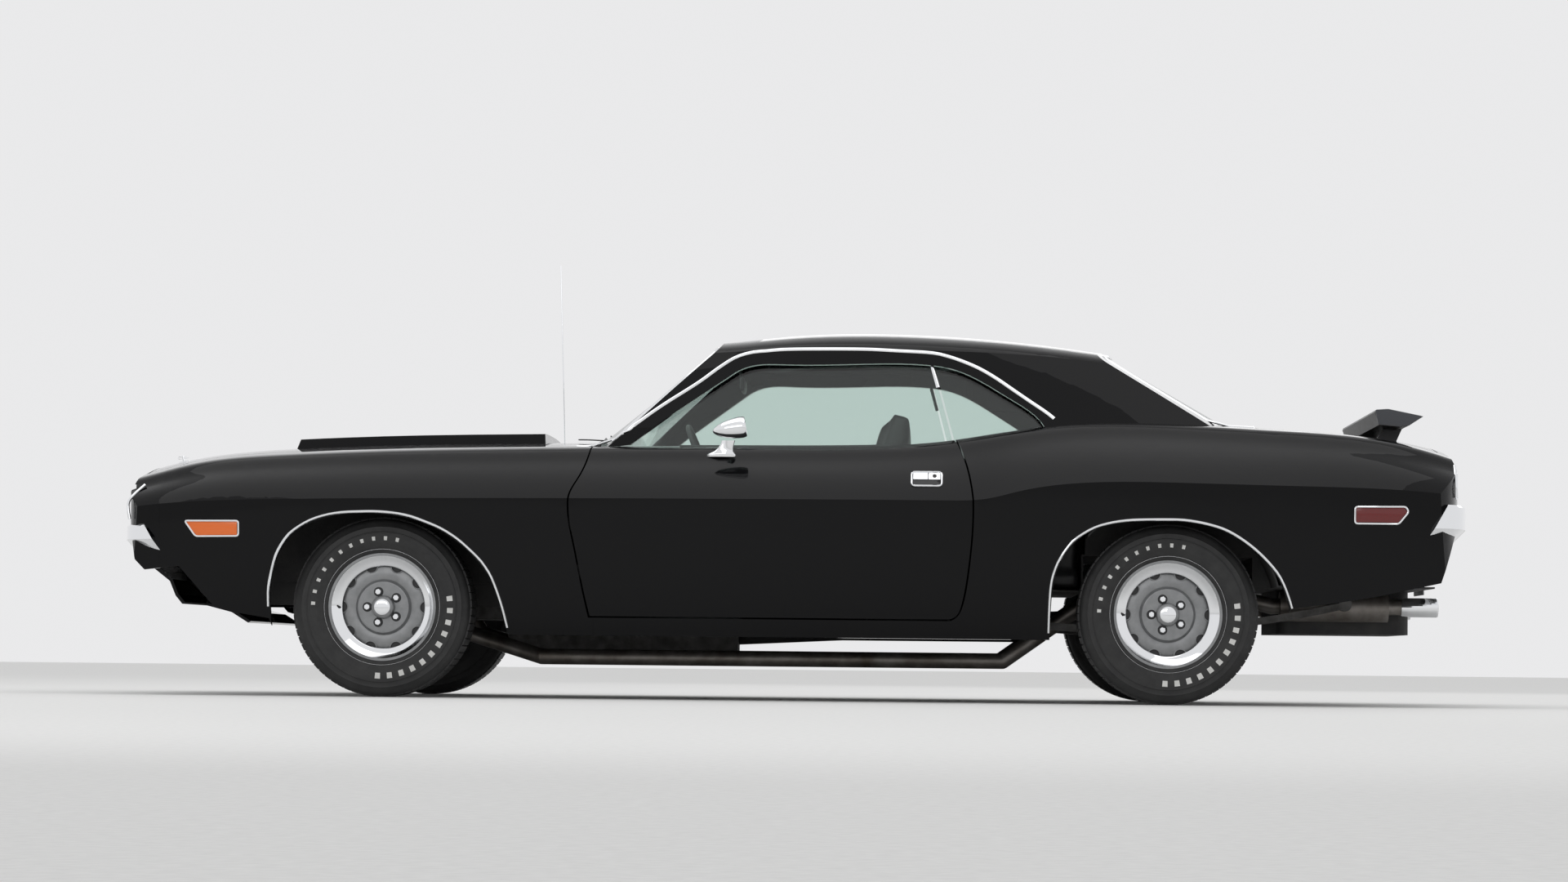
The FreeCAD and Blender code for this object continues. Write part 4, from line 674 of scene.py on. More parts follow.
tyre = turned(tyre_profile, TYRE_SEGMENTS, rubber, closed=True)
start_edit("DESELECT")
bpy.ops.mesh.select_mode(type="FACE")
bpy.ops.object.mode_set(mode="OBJECT")


def inset_chosen(thickness, depth):
    """Insets and lifts every chosen face on its own."""
    bpy.ops.object.mode_set(mode="EDIT")
    bpy.ops.mesh.inset(thickness=thickness, depth=depth, use_individual=True)
    bpy.ops.object.mode_set(mode="OBJECT")


for face in tyre.data.polygons:
    middle = face.center
    face.select = math.hypot(middle.x, middle.z) > TREAD_FROM and abs(middle.y) < TREAD_HALF
inset_chosen(GROOVE_HALF, TREAD_BLOCK)
print("tyre faces", len(tyre.data.polygons))

# %% [markdown]
# Each outer sidewall carries two arcs of plain raised white blocks, larger ones low and behind
# the hub, smaller ones high and ahead. They are every second face of the same wall, inset,
# lifted by a millimetre and given white rubber.

# %% Sidewall blocks
white_rubber = make_finish("white_rubber", (0.62, 0.62, 0.6), 0.6,
                           tones=(35.0, (0.56, 0.56, 0.54), (0.66, 0.66, 0.645)),
                           grain=(1400.0, 0.15, 0.0002))
tyre.data.materials.append(white_rubber)
BLOCK_ARCS = ((-12, 98, 0.0016), (-182, -72, 0.005))
BLOCK_IN, BLOCK_OUT, BLOCK_RAISED = 0.235, 0.255, 0.001
chosen = {}
for low, high, edge in BLOCK_ARCS:
    for face in tyre.data.polygons:
        middle = face.center
        turn_at = math.degrees(math.atan2(-middle.z, -middle.x))
        turn_at = turn_at - 360 if turn_at > 120 else turn_at
        inside = low < turn_at < high and int(math.floor(turn_at / 5.0 + 0.01)) % 2 == 0
        face.select = BLOCK_IN < math.hypot(middle.x, middle.z) < BLOCK_OUT and middle.y > 0 and inside
    inset_chosen(edge, BLOCK_RAISED)
    chosen.update({tuple(rounded(f.center, 5)): 1 for f in tyre.data.polygons if f.select})
for face in tyre.data.polygons:
    face.material_index = chosen.get(tuple(rounded(face.center, 5)), 0)
print("white blocks", len(chosen))
bpy.ops.object.shade_smooth_by_angle(angle=math.radians(32))
for spot, place in WHEEL_PLACES.items():
    spun = (0, 0, 0 if "left" in spot else math.pi)
    copy = moved_copy(tyre, "tyre_tread_" + spot, place, spun, "wheel_%s_body" % spot)
    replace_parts(copy, "tyre_" + spot)
drop(tyre)
print("tyres placed", list(WHEEL_PLACES))

# %% [markdown]
# The steel wheel's face is a pressed disc whose rim is scalloped into ten half-moon openings.
# The CAD disc behind it is dressed with a thin satin black ring, painted shade that makes the
# openings read as dark holes, and the scallops are cut by a ring of ten cylinders with a Boolean,
# as a press tool would.

# %% Wheel face
SCALLOPS, SCALLOP_AT, SCALLOP_RADIUS = 10, 0.1515, 0.0205
SCALLOP_STEP = 2 * math.pi / SCALLOPS
# Painted shade: a thin satin black ring that shows dark through the scallops.
painted_shade_ring = turned([(0.0925, 0.0405), (0.1468, 0.0405), (0.1468, 0.0412), (0.0925, 0.0412)], 72,
                 satin_black, closed=True)
face_disc = turned([(0.093, 0.0412), (0.0955, 0.044), (0.102, 0.0462), (0.115, 0.0478), (0.127, 0.0474),
                    (0.14, 0.044), (0.1466, 0.0428), (0.1466, 0.041), (0.093, 0.041)], 120,
                   argent, closed=True)
bare()
bpy.ops.mesh.primitive_cylinder_add(vertices=40, radius=SCALLOP_RADIUS, depth=0.04,
                                    location=(SCALLOP_AT, 0.045, 0), rotation=(math.pi / 2, 0, 0))
punch = bpy.context.object
settle()
start_edit()
repeat_round(SCALLOPS - 1, SCALLOP_STEP, "Y")
pick(face_disc)
cut = face_disc.modifiers.new("scallops", "BOOLEAN")
cut.object = punch
cut.operation = "DIFFERENCE"
bpy.ops.object.modifier_apply(modifier="scallops")
drop(punch)
print("disc faces after the cut", len(face_disc.data.polygons))

# %% Scallop lips
LIP_RADIUS, LUG_CIRCLE = 0.0222, 0.05715
lip_turns = [math.radians(106 + 148 * count / 14) for count in range(15)]
lip_line = [(SCALLOP_AT + LIP_RADIUS * math.cos(t), 0.0462, LIP_RADIUS * math.sin(t)) for t in lip_turns]
lip = strip("lip", lip_line, (0, 1, 0), 0.0046, 0.005, argent, corners=8)
start_edit()
repeat_round(SCALLOPS - 1, SCALLOP_STEP, "Y")
bpy.ops.object.mode_set(mode="OBJECT")
# Painted shade: a flat satin black disc round each nut's foot stands for its dark recess.
recess_shade = turned([(0.0, 0.0582), (0.0155, 0.0582), (0.0166, 0.059), (0.0172, 0.0582), (0.0172, 0.0575),
                 (0.0, 0.0575)], 24, satin_black)
bpy.ops.transform.translate(value=(LUG_CIRCLE, 0, 0))
settle()
groove = turned([(0.0905, 0.0566), (0.0905, 0.0574), (0.0885, 0.0584), (0.087, 0.0584), (0.087, 0.0566)], 72,
                argent, closed=True)
print("lips and recesses ready")

# %% [markdown]
# On the steel wheel sit a bright trim ring, a domed cap and five plated nuts. The ring and the
# cap are turned; a nut is a six-sided cylinder with its edges bevelled.

# %% Trim ring, cap and nuts
ring = turned([(0.1472, 0.056), (0.15, 0.0588), (0.156, 0.0612), (0.17, 0.0716), (0.188, 0.0862),
               (0.199, 0.0958), (0.204, 0.0998), (0.207, 0.0996), (0.2074, 0.094), (0.206, 0.0925),
               (0.204, 0.0968), (0.154, 0.0582)], 96, chrome, closed=True)
cap = turned([(0.0402, 0.0575), (0.042, 0.059), (0.0405, 0.064), (0.0402, 0.08), (0.0385, 0.086),
              (0.033, 0.0905), (0.0285, 0.0922), (0.0, 0.0924)], 48, argent)
crown = turned([(0.0285, 0.0918), (0.0282, 0.094), (0.026, 0.0952), (0.018, 0.0968), (0.008, 0.0976),
                (0.0, 0.0978)], 48, chrome)
NUT_TOP, NUT_FOOT = 0.0765, 0.0575
nut = bar_with_soft_edges(6, 0.0108, NUT_TOP - NUT_FOOT, (LUG_CIRCLE, (NUT_TOP + NUT_FOOT) / 2, 0),
                          (math.pi / 2, 0, 0), 0.0016, chrome)
valve = bar_with_soft_edges(12, 0.0036, 0.016, (0.158, 0.066, 0), (math.radians(62), 0, math.radians(90)),
                            0.0012, rubber)
WHEEL_PIECES = {"trim_ring": ring, "hub_cap": cap, "cap_crown": crown, "wheel_backing": painted_shade_ring,
                "wheel_face": face_disc, "scallop_lips": lip, "step_edge": groove, "valve": valve}
for piece in (ring, cap, crown, valve, painted_shade_ring, face_disc, recess_shade, groove):
    pick(piece)
    bpy.ops.object.shade_smooth_by_angle(angle=math.radians(30))
for spot, place in WHEEL_PLACES.items():
    body, left = "wheel_%s_body" % spot, "left" in spot
    spun = (0, 0, 0 if left else math.pi)
    for name, piece in WHEEL_PIECES.items():
        moved_copy(piece, "%s_%s" % (name, spot), place, spun, body)
    for count in range(5):
        step = 2 * math.pi * count / 5
        around = (0, -step if left else step, spun[2])
        for name, piece in (("nut", nut), ("nut_recess", recess_shade)):
            moved_copy(piece, "%s_%d_%s" % (name, count + 1, spot), place, around, body)
drop(nut, recess_shade, *WHEEL_PIECES.values())
print("wheels dressed")

# %% [markdown]
# Thin bright mouldings outline the car: round each wheel opening, along the drip rails, round
# the nose and tail and both screens. Each is a strip, drawn through points measured on the car's
# side and dropped on the panel by rays, so it lies on the paint from every side.

# %% Wheel arch mouldings
# Points measured on the car's side are (along, up) in millimetres.
FRONT_ARCH = [(1850, 318), (1849, 382), (1838, 440), (1822, 498), (1794, 548), (1765, 580), (1707, 616),
              (1649, 636), (1591, 646), (1533, 649), (1475, 650), (1417, 646), (1358, 636), (1300, 616),
              (1241, 591), (1183, 554), (1124, 502), (1094, 468), (1065, 419), (1034, 332), (1014, 252)]
REAR_ARCH = [(-922, 252), (-924, 351), (-929, 423), (-940, 467), (-957, 507), (-986, 551), (-1014, 580),
             (-1072, 615), (-1129, 633), (-1187, 642), (-1244, 645), (-1359, 646), (-1417, 641),
             (-1474, 630), (-1531, 612), (-1589, 579), (-1647, 534), (-1704, 474), (-1733, 425),
             (-1753, 374), (-1762, 345)]
PANELS = ["body_shell", "cowl", "fender_left", "fender_right", "nose_panel", "hood", "deck_lid",
          "door_left", "door_right"]


def metres(line):
    return [(x / 1000, z / 1000) for x, z in line]


def from_centre(line, centre, grow):
    """Moves a line of (along, up) points away from a centre."""
    moved = []
    for x, z in line:
        away = Vector((x - centre[0], z - centre[1]))
        away = away * (1 + grow / away.length)
        moved.append((centre[0] + away.x, centre[1] + away.y))
    return moved


for end, line, axle in (("front", FRONT_ARCH, 1.457), ("rear", REAR_ARCH, -1.337)):
    shown = smooth_line([(x, 0, z) for x, z in from_centre(metres(line), (axle, 0.3), 0.008)], 56)
    for side, k in SIDES:
        points, _ = trace(shown, (0, -k, 0), PANELS)
        strip("arch_moulding_%s_%s" % (end, side), points, (0, k, 0), 0.01, 0.01, chrome)
        print(end, side, "arch moulding of", len(points), "points")

# %% Drip rails
DRIP = [(651, 930), (569, 990), (511, 1035), (452, 1077), (393, 1116), (335, 1156), (276, 1202),
        (217, 1241), (158, 1260), (99, 1266), (40, 1271), (-78, 1273), (-255, 1273), (-373, 1268),
        (-491, 1262), (-550, 1250), (-609, 1230), (-668, 1204), (-727, 1169), (-786, 1128), (-845, 1087),
        (-904, 1047), (-934, 1023)]
shown = smooth_line([(x, 0, z - 0.004) for x, z in metres(DRIP)], 70)
for side, k in SIDES:
    points, faces = trace(shown, (0, -k, 0), ["body_shell"])
    strip("drip_rail_" + side, points, faces, 0.014, 0.011, chrome)
    print(side, "drip rail of", len(points), "points")

# %% [markdown]
# The lamps' lenses are exact in the CAD model, so a copy of it is merged, split into its loose
# solids, and each gets softened edges and its own colour: amber ahead, red behind. Each lens
# then gets a slim bright frame that is drawn round its outline.

# %% Marker and tail lamps
def corner_loop(corners, radius, per_corner=5):
    """A closed outline with its corners rounded."""
    line = []
    corners = [Vector(c) for c in corners]
    for k, here in enumerate(corners):
        before, after = corners[k - 1], corners[(k + 1) % len(corners)]
        start = here + (before - here).normalized() * radius
        end = here + (after - here).normalized() * radius
        for part in range(per_corner):
            t = part / (per_corner - 1)
            line.append((1 - t) ** 2 * start + 2 * t * (1 - t) * here + t * t * end)
    return line


MARKERS = {"front": [(2158, 619), (1963, 620), (1963, 566), (2118, 564)],
           "rear": [(-1987, 705), (-2167, 707), (-2177, 689), (-2142, 646), (-1987, 646)]}
pick(nodes["marker_lamps"])
bpy.ops.object.duplicate(linked=False)
bpy.context.object.data.materials.clear()
start_edit()
bpy.ops.mesh.remove_doubles(threshold=0.00005)
bpy.ops.mesh.dissolve_limited(angle_limit=math.radians(2))
bpy.ops.mesh.separate(type="LOOSE")
bpy.ops.object.mode_set(mode="OBJECT")
for lens in list(bpy.context.selected_objects):
    pick(lens)
    middle = sum((v.co for v in lens.data.vertices), Vector()) / len(lens.data.vertices)
    side = "left" if middle.y > 0 else "right"
    kind = "front_marker" if middle.x > 0 else ("tail_lamp" if abs(middle.y) < 0.8 else "rear_marker")
    start_edit()
    bpy.ops.mesh.bevel(offset=0.0012, segments=2, affect="EDGES")
    piece = close_piece("%s_%s" % (kind, side), lens_amber if kind == "front_marker" else lens_red)
    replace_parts(piece, "marker_lamps")
    print(kind, side, rounded(middle))
for end, corners in MARKERS.items():
    for side, k in SIDES:
        loop = corner_loop([(x, 0, z) for x, z in metres(corners)], 0.01)
        points, _ = trace(loop, (0, -k, 0), PANELS + ["marker_lamps"])
        strip("marker_frame_%s_%s" % (end, side), points, (0, k, 0), 0.008, 0.01, chrome, closed=True,
              corners=8)

# %% [markdown]
# Headlamps: each bowl gets a domed lens, a small bulb and a bright retaining ring. The three
# are turned once, and copied to the four bowls.

# %% Headlamp lenses and rings
lamp_low, lamp_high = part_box("headlamps")
LAMP_RADIUS, LAMP_GAP = (lamp_high.z - lamp_low.z) / 2, 0.03
LAMP_Z, LAMP_FRONT = (lamp_low.z + lamp_high.z) / 2, lamp_high.x
lamp_spots = [lamp_high.y - LAMP_RADIUS]
lamp_spots.append(lamp_spots[0] - 2 * LAMP_RADIUS - LAMP_GAP)
dome = turned([(0.0, 0.02), (0.018, 0.0196), (0.034, 0.018), (0.05, 0.014), (0.062, 0.007),
               (0.0665, 0.0005), (0.0665, -0.002), (0.0, -0.002)], 48, lamp_glass, axis=(1, 0, 0))
bowl_ring = turned([(0.064, 0.0), (0.0655, 0.01), (0.068, 0.013), (0.0705, 0.012), (0.0712, 0.004),
                    (0.0712, 0.0)], 48, chrome, axis=(1, 0, 0), closed=True)
bulb = turned([(0.0, 0.014), (0.006, 0.013), (0.0085, 0.008), (0.01, 0.0)], 24, chrome, axis=(1, 0, 0))
for number, y in enumerate(lamp_spots, start=1):
    for side, k in SIDES:
        for kind, piece in (("lens", dome), ("ring", bowl_ring), ("bulb", bulb)):
            moved_copy(piece, "headlamp_%s_%d_%s" % (kind, number, side), (LAMP_FRONT, k * y, LAMP_Z))
drop(dome, bowl_ring, bulb)
print("headlamps at", rounded((LAMP_FRONT, *lamp_spots, LAMP_Z)))

# %% [markdown]
# The nose and tail panels end in a slim bright edge, and both screens sit in a bright surround.
# Their outlines are read from the CAD pieces as seen from ahead or behind, grown by a few
# millimetres and dropped back on the panels.

# %% Outline of a node seen along the car
def seen_outline(name, grow):
    """The outer outline of a node across and up, moved outwards by a small amount."""
    flat = [Vector((v.co.y, v.co.z)) for v in nodes[name].data.vertices]
    hull = [flat[k] for k in convex_hull_2d(flat)]
    centre = sum(hull, Vector((0, 0))) / len(hull)
    return [(p + (p - centre).normalized() * grow) for p in hull]


def even_loop(points, count):
    """Walks a closed line in even steps, without rounding it."""
    return walk(points + points[:1], count)[:-1]


for name, way, carriers in (("windshield", -1, ["body_shell", "cowl"]), ("backlight", 1, ["body_shell"])):
    loop = even_loop(seen_outline(name, 0.01), 110)
    points, faces = trace([(0, p.x, p.y) for p in loop], (way, 0, 0), carriers)
    strip(name + "_surround", points, faces, 0.016, 0.009, chrome, closed=True, corners=8)
    print(name, "surround of", len(points), "points")

# %% Nose and tail edges
EDGE_LIMIT = 0.014


def edge_of_face(z, way, k):
    """The outermost point of the nose or tail face at a height, found by rays side by side."""
    hits = [on_panel((-way * FAR, k * y / 1000, z), (way, 0, 0), PANELS) for y in range(700, 950, 4)]
    places = [hit[0] for hit in hits if hit]
    reach = max(-way * place.x for place in places)
    return max((p for p in places if -way * p.x > reach - EDGE_LIMIT), key=lambda p: abs(p.y))


for name, way, heights in (("nose_edge", -1, (0.625, 0.69, 0.75)),
                           ("tail_edge", 1, (0.745, 0.8, 0.86))):
    for side, k in SIDES:
        line = smooth_line([edge_of_face(z, way, k) for z in heights], 14)
        out = Vector((-way, k * 0.9, 0)).normalized()
        hits = [on_panel(p + out * 0.2, -out, PANELS) for p in line]
        depth = max((hit[0] - p).dot(out) for hit, p in zip(hits, line) if hit)
        points = [p + out * (depth - 0.001) for p in line]
        strip("%s_%s" % (name, side), points, out, 0.012, 0.01, chrome)
        print(name, side, rounded(points[0]), rounded(points[-1]))

# %% Divider and belt mouldings
DIVIDER = [(-494, 1211), (-520, 1120), (-545, 1035), (-569, 949)]
BELT = [(700, 906), (616, 907), (440, 908), (207, 909), (-85, 911), (-319, 916), (-435, 927), (-551, 946)]
for side, k in SIDES:
    way = (0, -k, 0)
    shown = smooth_line([(x, 0, z) for x, z in metres(DIVIDER)], 16)
    points, _ = trace(shown, way, ["quarter_glass", "door_glass_" + side, "body_shell"])
    points = [p + Vector((0, k * 0.004, 0)) for p in points]
    strip("divider_" + side, points, (0, k, 0), 0.014, 0.01, chrome)
    shown = smooth_line([(x, 0, z) for x, z in metres(BELT)], 30)
    points, _ = trace(shown, way, ["door_" + side])
    strip("belt_weatherstrip_" + side, points, (0, k, 0), 0.01, 0.01, satin_black, "door_%s_body" % side)
    print(side, "belt strip of", len(points), "points")

# %% [markdown]
# Small fittings: door handles, the bullet mirror, hood pins, wipers and the wing's trim. Each is
# built flat at the origin where that is easier, leaned to its panel by the panel's own
# direction, and mirrored to the other side.

# %% Door handles
def mirror_piece(piece):
    """The same piece on the right door, with its faces turned outwards again."""
    name = piece.name.replace("left", "right")
    copy = moved_copy(piece, name, body="door_right_body", slot=WORN[piece.name])
    copy.scale = (1, -1, 1)
    settle()
    start_edit()
    face_outwards()
    bpy.ops.object.mode_set(mode="OBJECT")


def lean_on(piece, place, normal):
    """Lays a piece that was made facing +Y on a side panel."""
    pick(piece)
    piece.location = place
    piece.rotation_euler = (math.atan2(normal.z, normal.y), 0, 0)
    settle()


HANDLE_HALF, HANDLE_HIGH = 0.0535, 0.033
handle_place, handle_normal = on_panel((-0.4795, FAR, 0.7895), (0, -1, 0), ["door_left"])
door = "door_left_body"
corners = [(HANDLE_HALF, 0.001, HANDLE_HIGH), (-HANDLE_HALF, 0.001, HANDLE_HIGH),
           (-HANDLE_HALF, 0.001, -HANDLE_HIGH), (HANDLE_HALF, 0.001, -HANDLE_HIGH)]
# Painted shade: the satin black plate round the flap stands for the handle's dark finger recess.
handle = [
    strip("handle_frame_left", corner_loop(corners, 0.014), (0, 1, 0), 0.0085, 0.012, chrome, door,
          closed=True),
    block("handle_recess_left", (-0.052, -0.004, -0.031), (0.052, 0.0008, 0.031), 0.0008, satin_black, door),
    block("handle_flap_left", (-0.0045, -0.003, -0.003), (0.048, 0.0048, 0.028), 0.0016, chrome, door),
    block("handle_plate_left", (-0.048, -0.003, -0.003), (-0.0065, 0.0042, 0.028), 0.0014, chrome, door)]
turned([(0.0075, 0.003), (0.0075, 0.0062), (0.0062, 0.007), (0.0022, 0.0068), (0.002, 0.005),
        (0.0, 0.005)], 24, cast_iron)
bpy.ops.transform.translate(value=(-0.0275, 0, 0.013))
handle.append(close_piece("handle_lock_left", cast_iron, door, "bright_chrome"))
for piece in handle:
    lean_on(piece, handle_place, handle_normal)
    mirror_piece(piece)
print("handles at", rounded(handle_place))

# %% Bullet mirror
turned([(0.0, 0.1685), (0.03, 0.1685), (0.0312, 0.1655), (0.0335, 0.165), (0.0362, 0.168),
        (0.038, 0.178), (0.0378, 0.192), (0.035, 0.215), (0.0295, 0.24), (0.0215, 0.261),
        (0.012, 0.2765), (0.005, 0.283), (0.0, 0.2845)], 40, chrome, axis=(1, 0, 0))
bpy.ops.transform.translate(value=(0, 0.868, 0.966))
settle()
start_edit()
rotate(math.radians(9), "Y", (0.215, 0.868, 0.966))
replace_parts(close_piece("mirror_head_left", chrome, door), "mirror_left")
foot, _ = on_panel((0.255, FAR, 0.872), (0, -1, 0), ["door_left"])
spot = Vector((foot.x, foot.y - 0.004, foot.z - 0.004))
bare()
bpy.ops.mesh.primitive_circle_add(vertices=28, radius=0.5, fill_type="NGON", location=spot)
bpy.context.object.scale = (0.106, 0.036, 1)
settle()
start_edit()
STAND_STEPS = (((0.0, 0.003, 0.008), 1.0), ((-0.003, 0.002, 0.004), 0.86), ((-0.006, 0.002, 0.008), 0.74),
               ((-0.007, 0.002, 0.012), 0.8), ((-0.006, 0.002, 0.014), 0.88), ((-0.004, 0.001, 0.012), 1.0))
for move, share in STAND_STEPS:
    spot = spot + Vector(move)
    extrude(move)
    bpy.ops.transform.resize(value=(share, share, 1), center_override=spot)
face_outwards()
close_piece("mirror_stand_left", chrome, door, angle=50)
print("mirror stands at", rounded(foot))

# %% Hood pins
PIN_X, PIN_Y, PIN_LEAN = 2.245, 0.45, (0, math.radians(12), 0)
pin = turned([(0.0, 0.023), (0.0035, 0.0225), (0.0045, 0.02), (0.0045, 0.004), (0.015, 0.0032),
              (0.0205, 0.0016), (0.0215, -0.003), (0.0, -0.003)], 28, chrome, axis=(0, 0, 1))
clip_line = [(-0.02, 0, 0.012), (-0.006, 0, 0.0125), (0.01, 0, 0.013), (0.02, 0, 0.017), (0.016, 0, 0.022),
             (0.004, 0, 0.019), (-0.012, 0, 0.016)]
clip = strip("clip", smooth_line(clip_line, 18), (0, 1, 0), 0.0022, 0.0022, chrome, corners=6)
for side, k in SIDES:
    spot, _ = on_panel((PIN_X, k * PIN_Y, FAR), (0, 0, -1), ["hood"])
    moved_copy(pin, "hood_pin_" + side, spot, PIN_LEAN, "hood_body")
    moved_copy(clip, "hood_clip_" + side, spot, PIN_LEAN, "hood_body")
    print("hood pin", side, rounded(spot))
drop(pin, clip)

# %% Wipers
DOWN = (0, 0, -1)
for side, pivot_y, far_y in (("left", 0.36, 0.7), ("right", -0.28, 0.1)):
    shown = [(0.8 - 0.1 * k / 8, pivot_y + (far_y - pivot_y) * 0.55 * k / 8, 0) for k in range(9)]
    arm, _ = trace(shown, DOWN, ["cowl", "windshield", "body_shell", "hood"])
    arm = [p + Vector((0, 0, 0.012)) for p in arm]
    strip("wiper_arm_" + side, arm, (0, 0, 1), 0.01, 0.005, satin_black, corners=8)
    shown = [arm[-1] + Vector((0.0, 0.19 * (k / 10 - 1), 0)) for k in range(21)]
    blade, _ = trace(shown, DOWN, ["windshield", "cowl", "body_shell"])
    blade = [p + Vector((0, 0, 0.006)) for p in blade]
    strip("wiper_blade_" + side, blade, (0.5, 0, 1), 0.006, 0.012, satin_black, corners=8)
    print("wiper", side, len(arm), len(blade))

# %% Wing and antenna trim
slate = make_finish("wing_end_grey", (0.045, 0.048, 0.056), 0.4, rough=(55.0, 0.34, 0.48),
                    grain=(650.0, 0.12, 0.0003))
WING_END = [(-2093, 1068), (-2139, 1071), (-2262, 1046), (-2216, 1015), (-2187, 1009), (-2104, 1016)]
END_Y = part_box("rear_wing")[1].y - 0.001
for side, k in SIDES:
    points = corner_loop([(x, k * END_Y, z) for x, z in metres(WING_END)], 0.006, 4)
    flat_plate("wing_end_" + side, points, Vector((0, k * 0.0022, 0)), slate, "deck_lid_body")
    strip("wing_rim_" + side, points, (0, k, 0), 0.0032, 0.003, argent, "deck_lid_body", closed=True,
          corners=6)
dome = turned([(0.0, 0.026), (0.0045, 0.024), (0.006, 0.014), (0.012, 0.009), (0.0175, 0.004),
               (0.019, -0.004), (0.0, -0.004)], 28, chrome, axis=(0, 0, 1))
spot, _ = on_panel((0.9435, -0.7205, FAR), DOWN, ["fender_right", "cowl"])
put(dome, "antenna_base", spot)
print("antenna base at", rounded(spot))

# %% [markdown]
# The seats are foam under stretched vinyl. Each starts as a merged copy of its CAD solid, a
# little smaller, remeshed to even cells. Cloth with inner pressure swells it, its movement is
# held to a small cap, and one subdivision smooths the cover. Sewn channels follow, laid on the
# finished surface by rays.

# %% Seats
SEAT_CELL, SEAT_SHRINK, SEAT_CAP = 0.013, -0.012, 0.022


def swell(pad):
    """Lets air pressure crown the cover, and keeps every point within the cap."""
    before = [v.co.copy() for v in pad.data.vertices]
    foot = min(p.z for p in before) + 0.05
    pressure = pad.modifiers.new("swell", "CLOTH")
    pressure.settings.use_pressure = True
    pressure.settings.uniform_pressure_force = 4.0
    pressure.settings.effector_weights.gravity = 0.0
    pressure.settings.quality = 4
    scene = bpy.context.scene
    for frame_number in range(1, 21):
        scene.frame_set(frame_number)
    swollen = pad.evaluated_get(bpy.context.evaluated_depsgraph_get()).data
    after = [v.co.copy() for v in swollen.vertices]
    pad.modifiers.remove(pressure)
    scene.frame_set(1)
    for vertex, start, end in zip(pad.data.vertices, before, after):
        move = end - start
        if move.length > SEAT_CAP:
            move = move * (SEAT_CAP / move.length)
        vertex.co = start if start.z < foot else start + move


def finished(piece, kind, **settings):
    """Adds a modifier and applies it."""
    modifier = piece.modifiers.new(kind.lower(), kind)
    for key, value in settings.items():
        setattr(modifier, key, value)
    bpy.ops.object.modifier_apply(modifier=modifier.name)


def cushion(name):
    pick(nodes[name])
    bpy.ops.object.duplicate(linked=False)
    pad = bpy.context.object
    start_edit()
    bpy.ops.mesh.remove_doubles(threshold=0.00005)
    bpy.ops.object.mode_set(mode="OBJECT")
    finished(pad, "DISPLACE", strength=SEAT_SHRINK, mid_level=0.0)
    finished(pad, "REMESH", mode="VOXEL", voxel_size=SEAT_CELL)
    finished(pad, "SMOOTH", iterations=8)
    swell(pad)
    finished(pad, "SUBSURF", levels=1, render_levels=1)
    pad.data.materials.clear()
    close_piece(name + "_pad", vinyl, angle=60)
    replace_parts(pad, name)
    TREES[pad.name] = surface_tree(pad)
    print(pad.name, "of", len(pad.data.polygons), "faces")


for name in ("front_seat_left", "front_seat_right", "rear_seat"):
    cushion(name)

# %% Sewn channels
stitch = make_finish("seam_thread", (0.03, 0.03, 0.031), 0.6, grain=(900.0, 0.3, 0.0003))
SEAM_WAY = Vector((-0.7, 0, -0.714))
FRONT_SEAMS = (-0.18, -0.09, 0.0, 0.09, 0.18)
REAR_SEAMS = (-0.46, -0.345, -0.23, -0.115, 0.115, 0.23, 0.345, 0.46)
for name, start, end, middle, offsets in (
        ("front_seat_left", (-0.33, 1.02), (0.22, 0.5), 0.36, FRONT_SEAMS),
        ("front_seat_right", (-0.33, 1.02), (0.22, 0.5), -0.36, FRONT_SEAMS),
        ("rear_seat", (-0.96, 0.9), (-0.6, 0.5), 0.0, REAR_SEAMS)):
    for number, offset in enumerate(offsets, start=1):
        shown = [(start[0] + (end[0] - start[0]) * t / 30, middle + offset,
                  start[1] + (end[1] - start[1]) * t / 30) for t in range(31)]
        points, faces = trace(shown, SEAM_WAY, [name + "_pad"])
        strip("%s_seam_%d" % (name, number), points, faces, 0.006, 0.004, stitch, corners=6)
print("seams laid")

# %% [markdown]
# Inside each door is a padded card with an armrest and a window crank. The dashboard gets round
# dials with plain ticks, and the wheel its boss. Everything that turns with a part rides on it.

# %% Door cards
card = [
    block("door_card_left", (-0.59, 0.7215, 0.335), (0.715, 0.734, 0.85), 0.005, vinyl, door),
    block("armrest_left", (-0.3, 0.672, 0.56), (0.16, 0.723, 0.618), 0.014, vinyl, door),
    block("door_pocket_left", (-0.42, 0.714, 0.375), (0.56, 0.7225, 0.455), 0.004, hard_trim, door)]
turned([(0.0, 0.026), (0.01, 0.026), (0.014, 0.022), (0.016, 0.008), (0.024, 0.002), (0.024, -0.004),
        (0.0, -0.004)], 24, chrome, axis=(0, -1, 0))
bpy.ops.transform.translate(value=(0.36, 0.721, 0.66))
card.append(close_piece("crank_hub_left", chrome, door))
arm_line = [(0.36 - 0.01 * k, 0.7 - 0.0015 * k, 0.66 - 0.006 * k) for k in range(10)]
card.append(strip("crank_arm_left", arm_line, (0, -1, 0), 0.014, 0.007, chrome, door))
for piece in card:
    mirror_piece(piece)
print("door cards", [piece.name for piece in card])

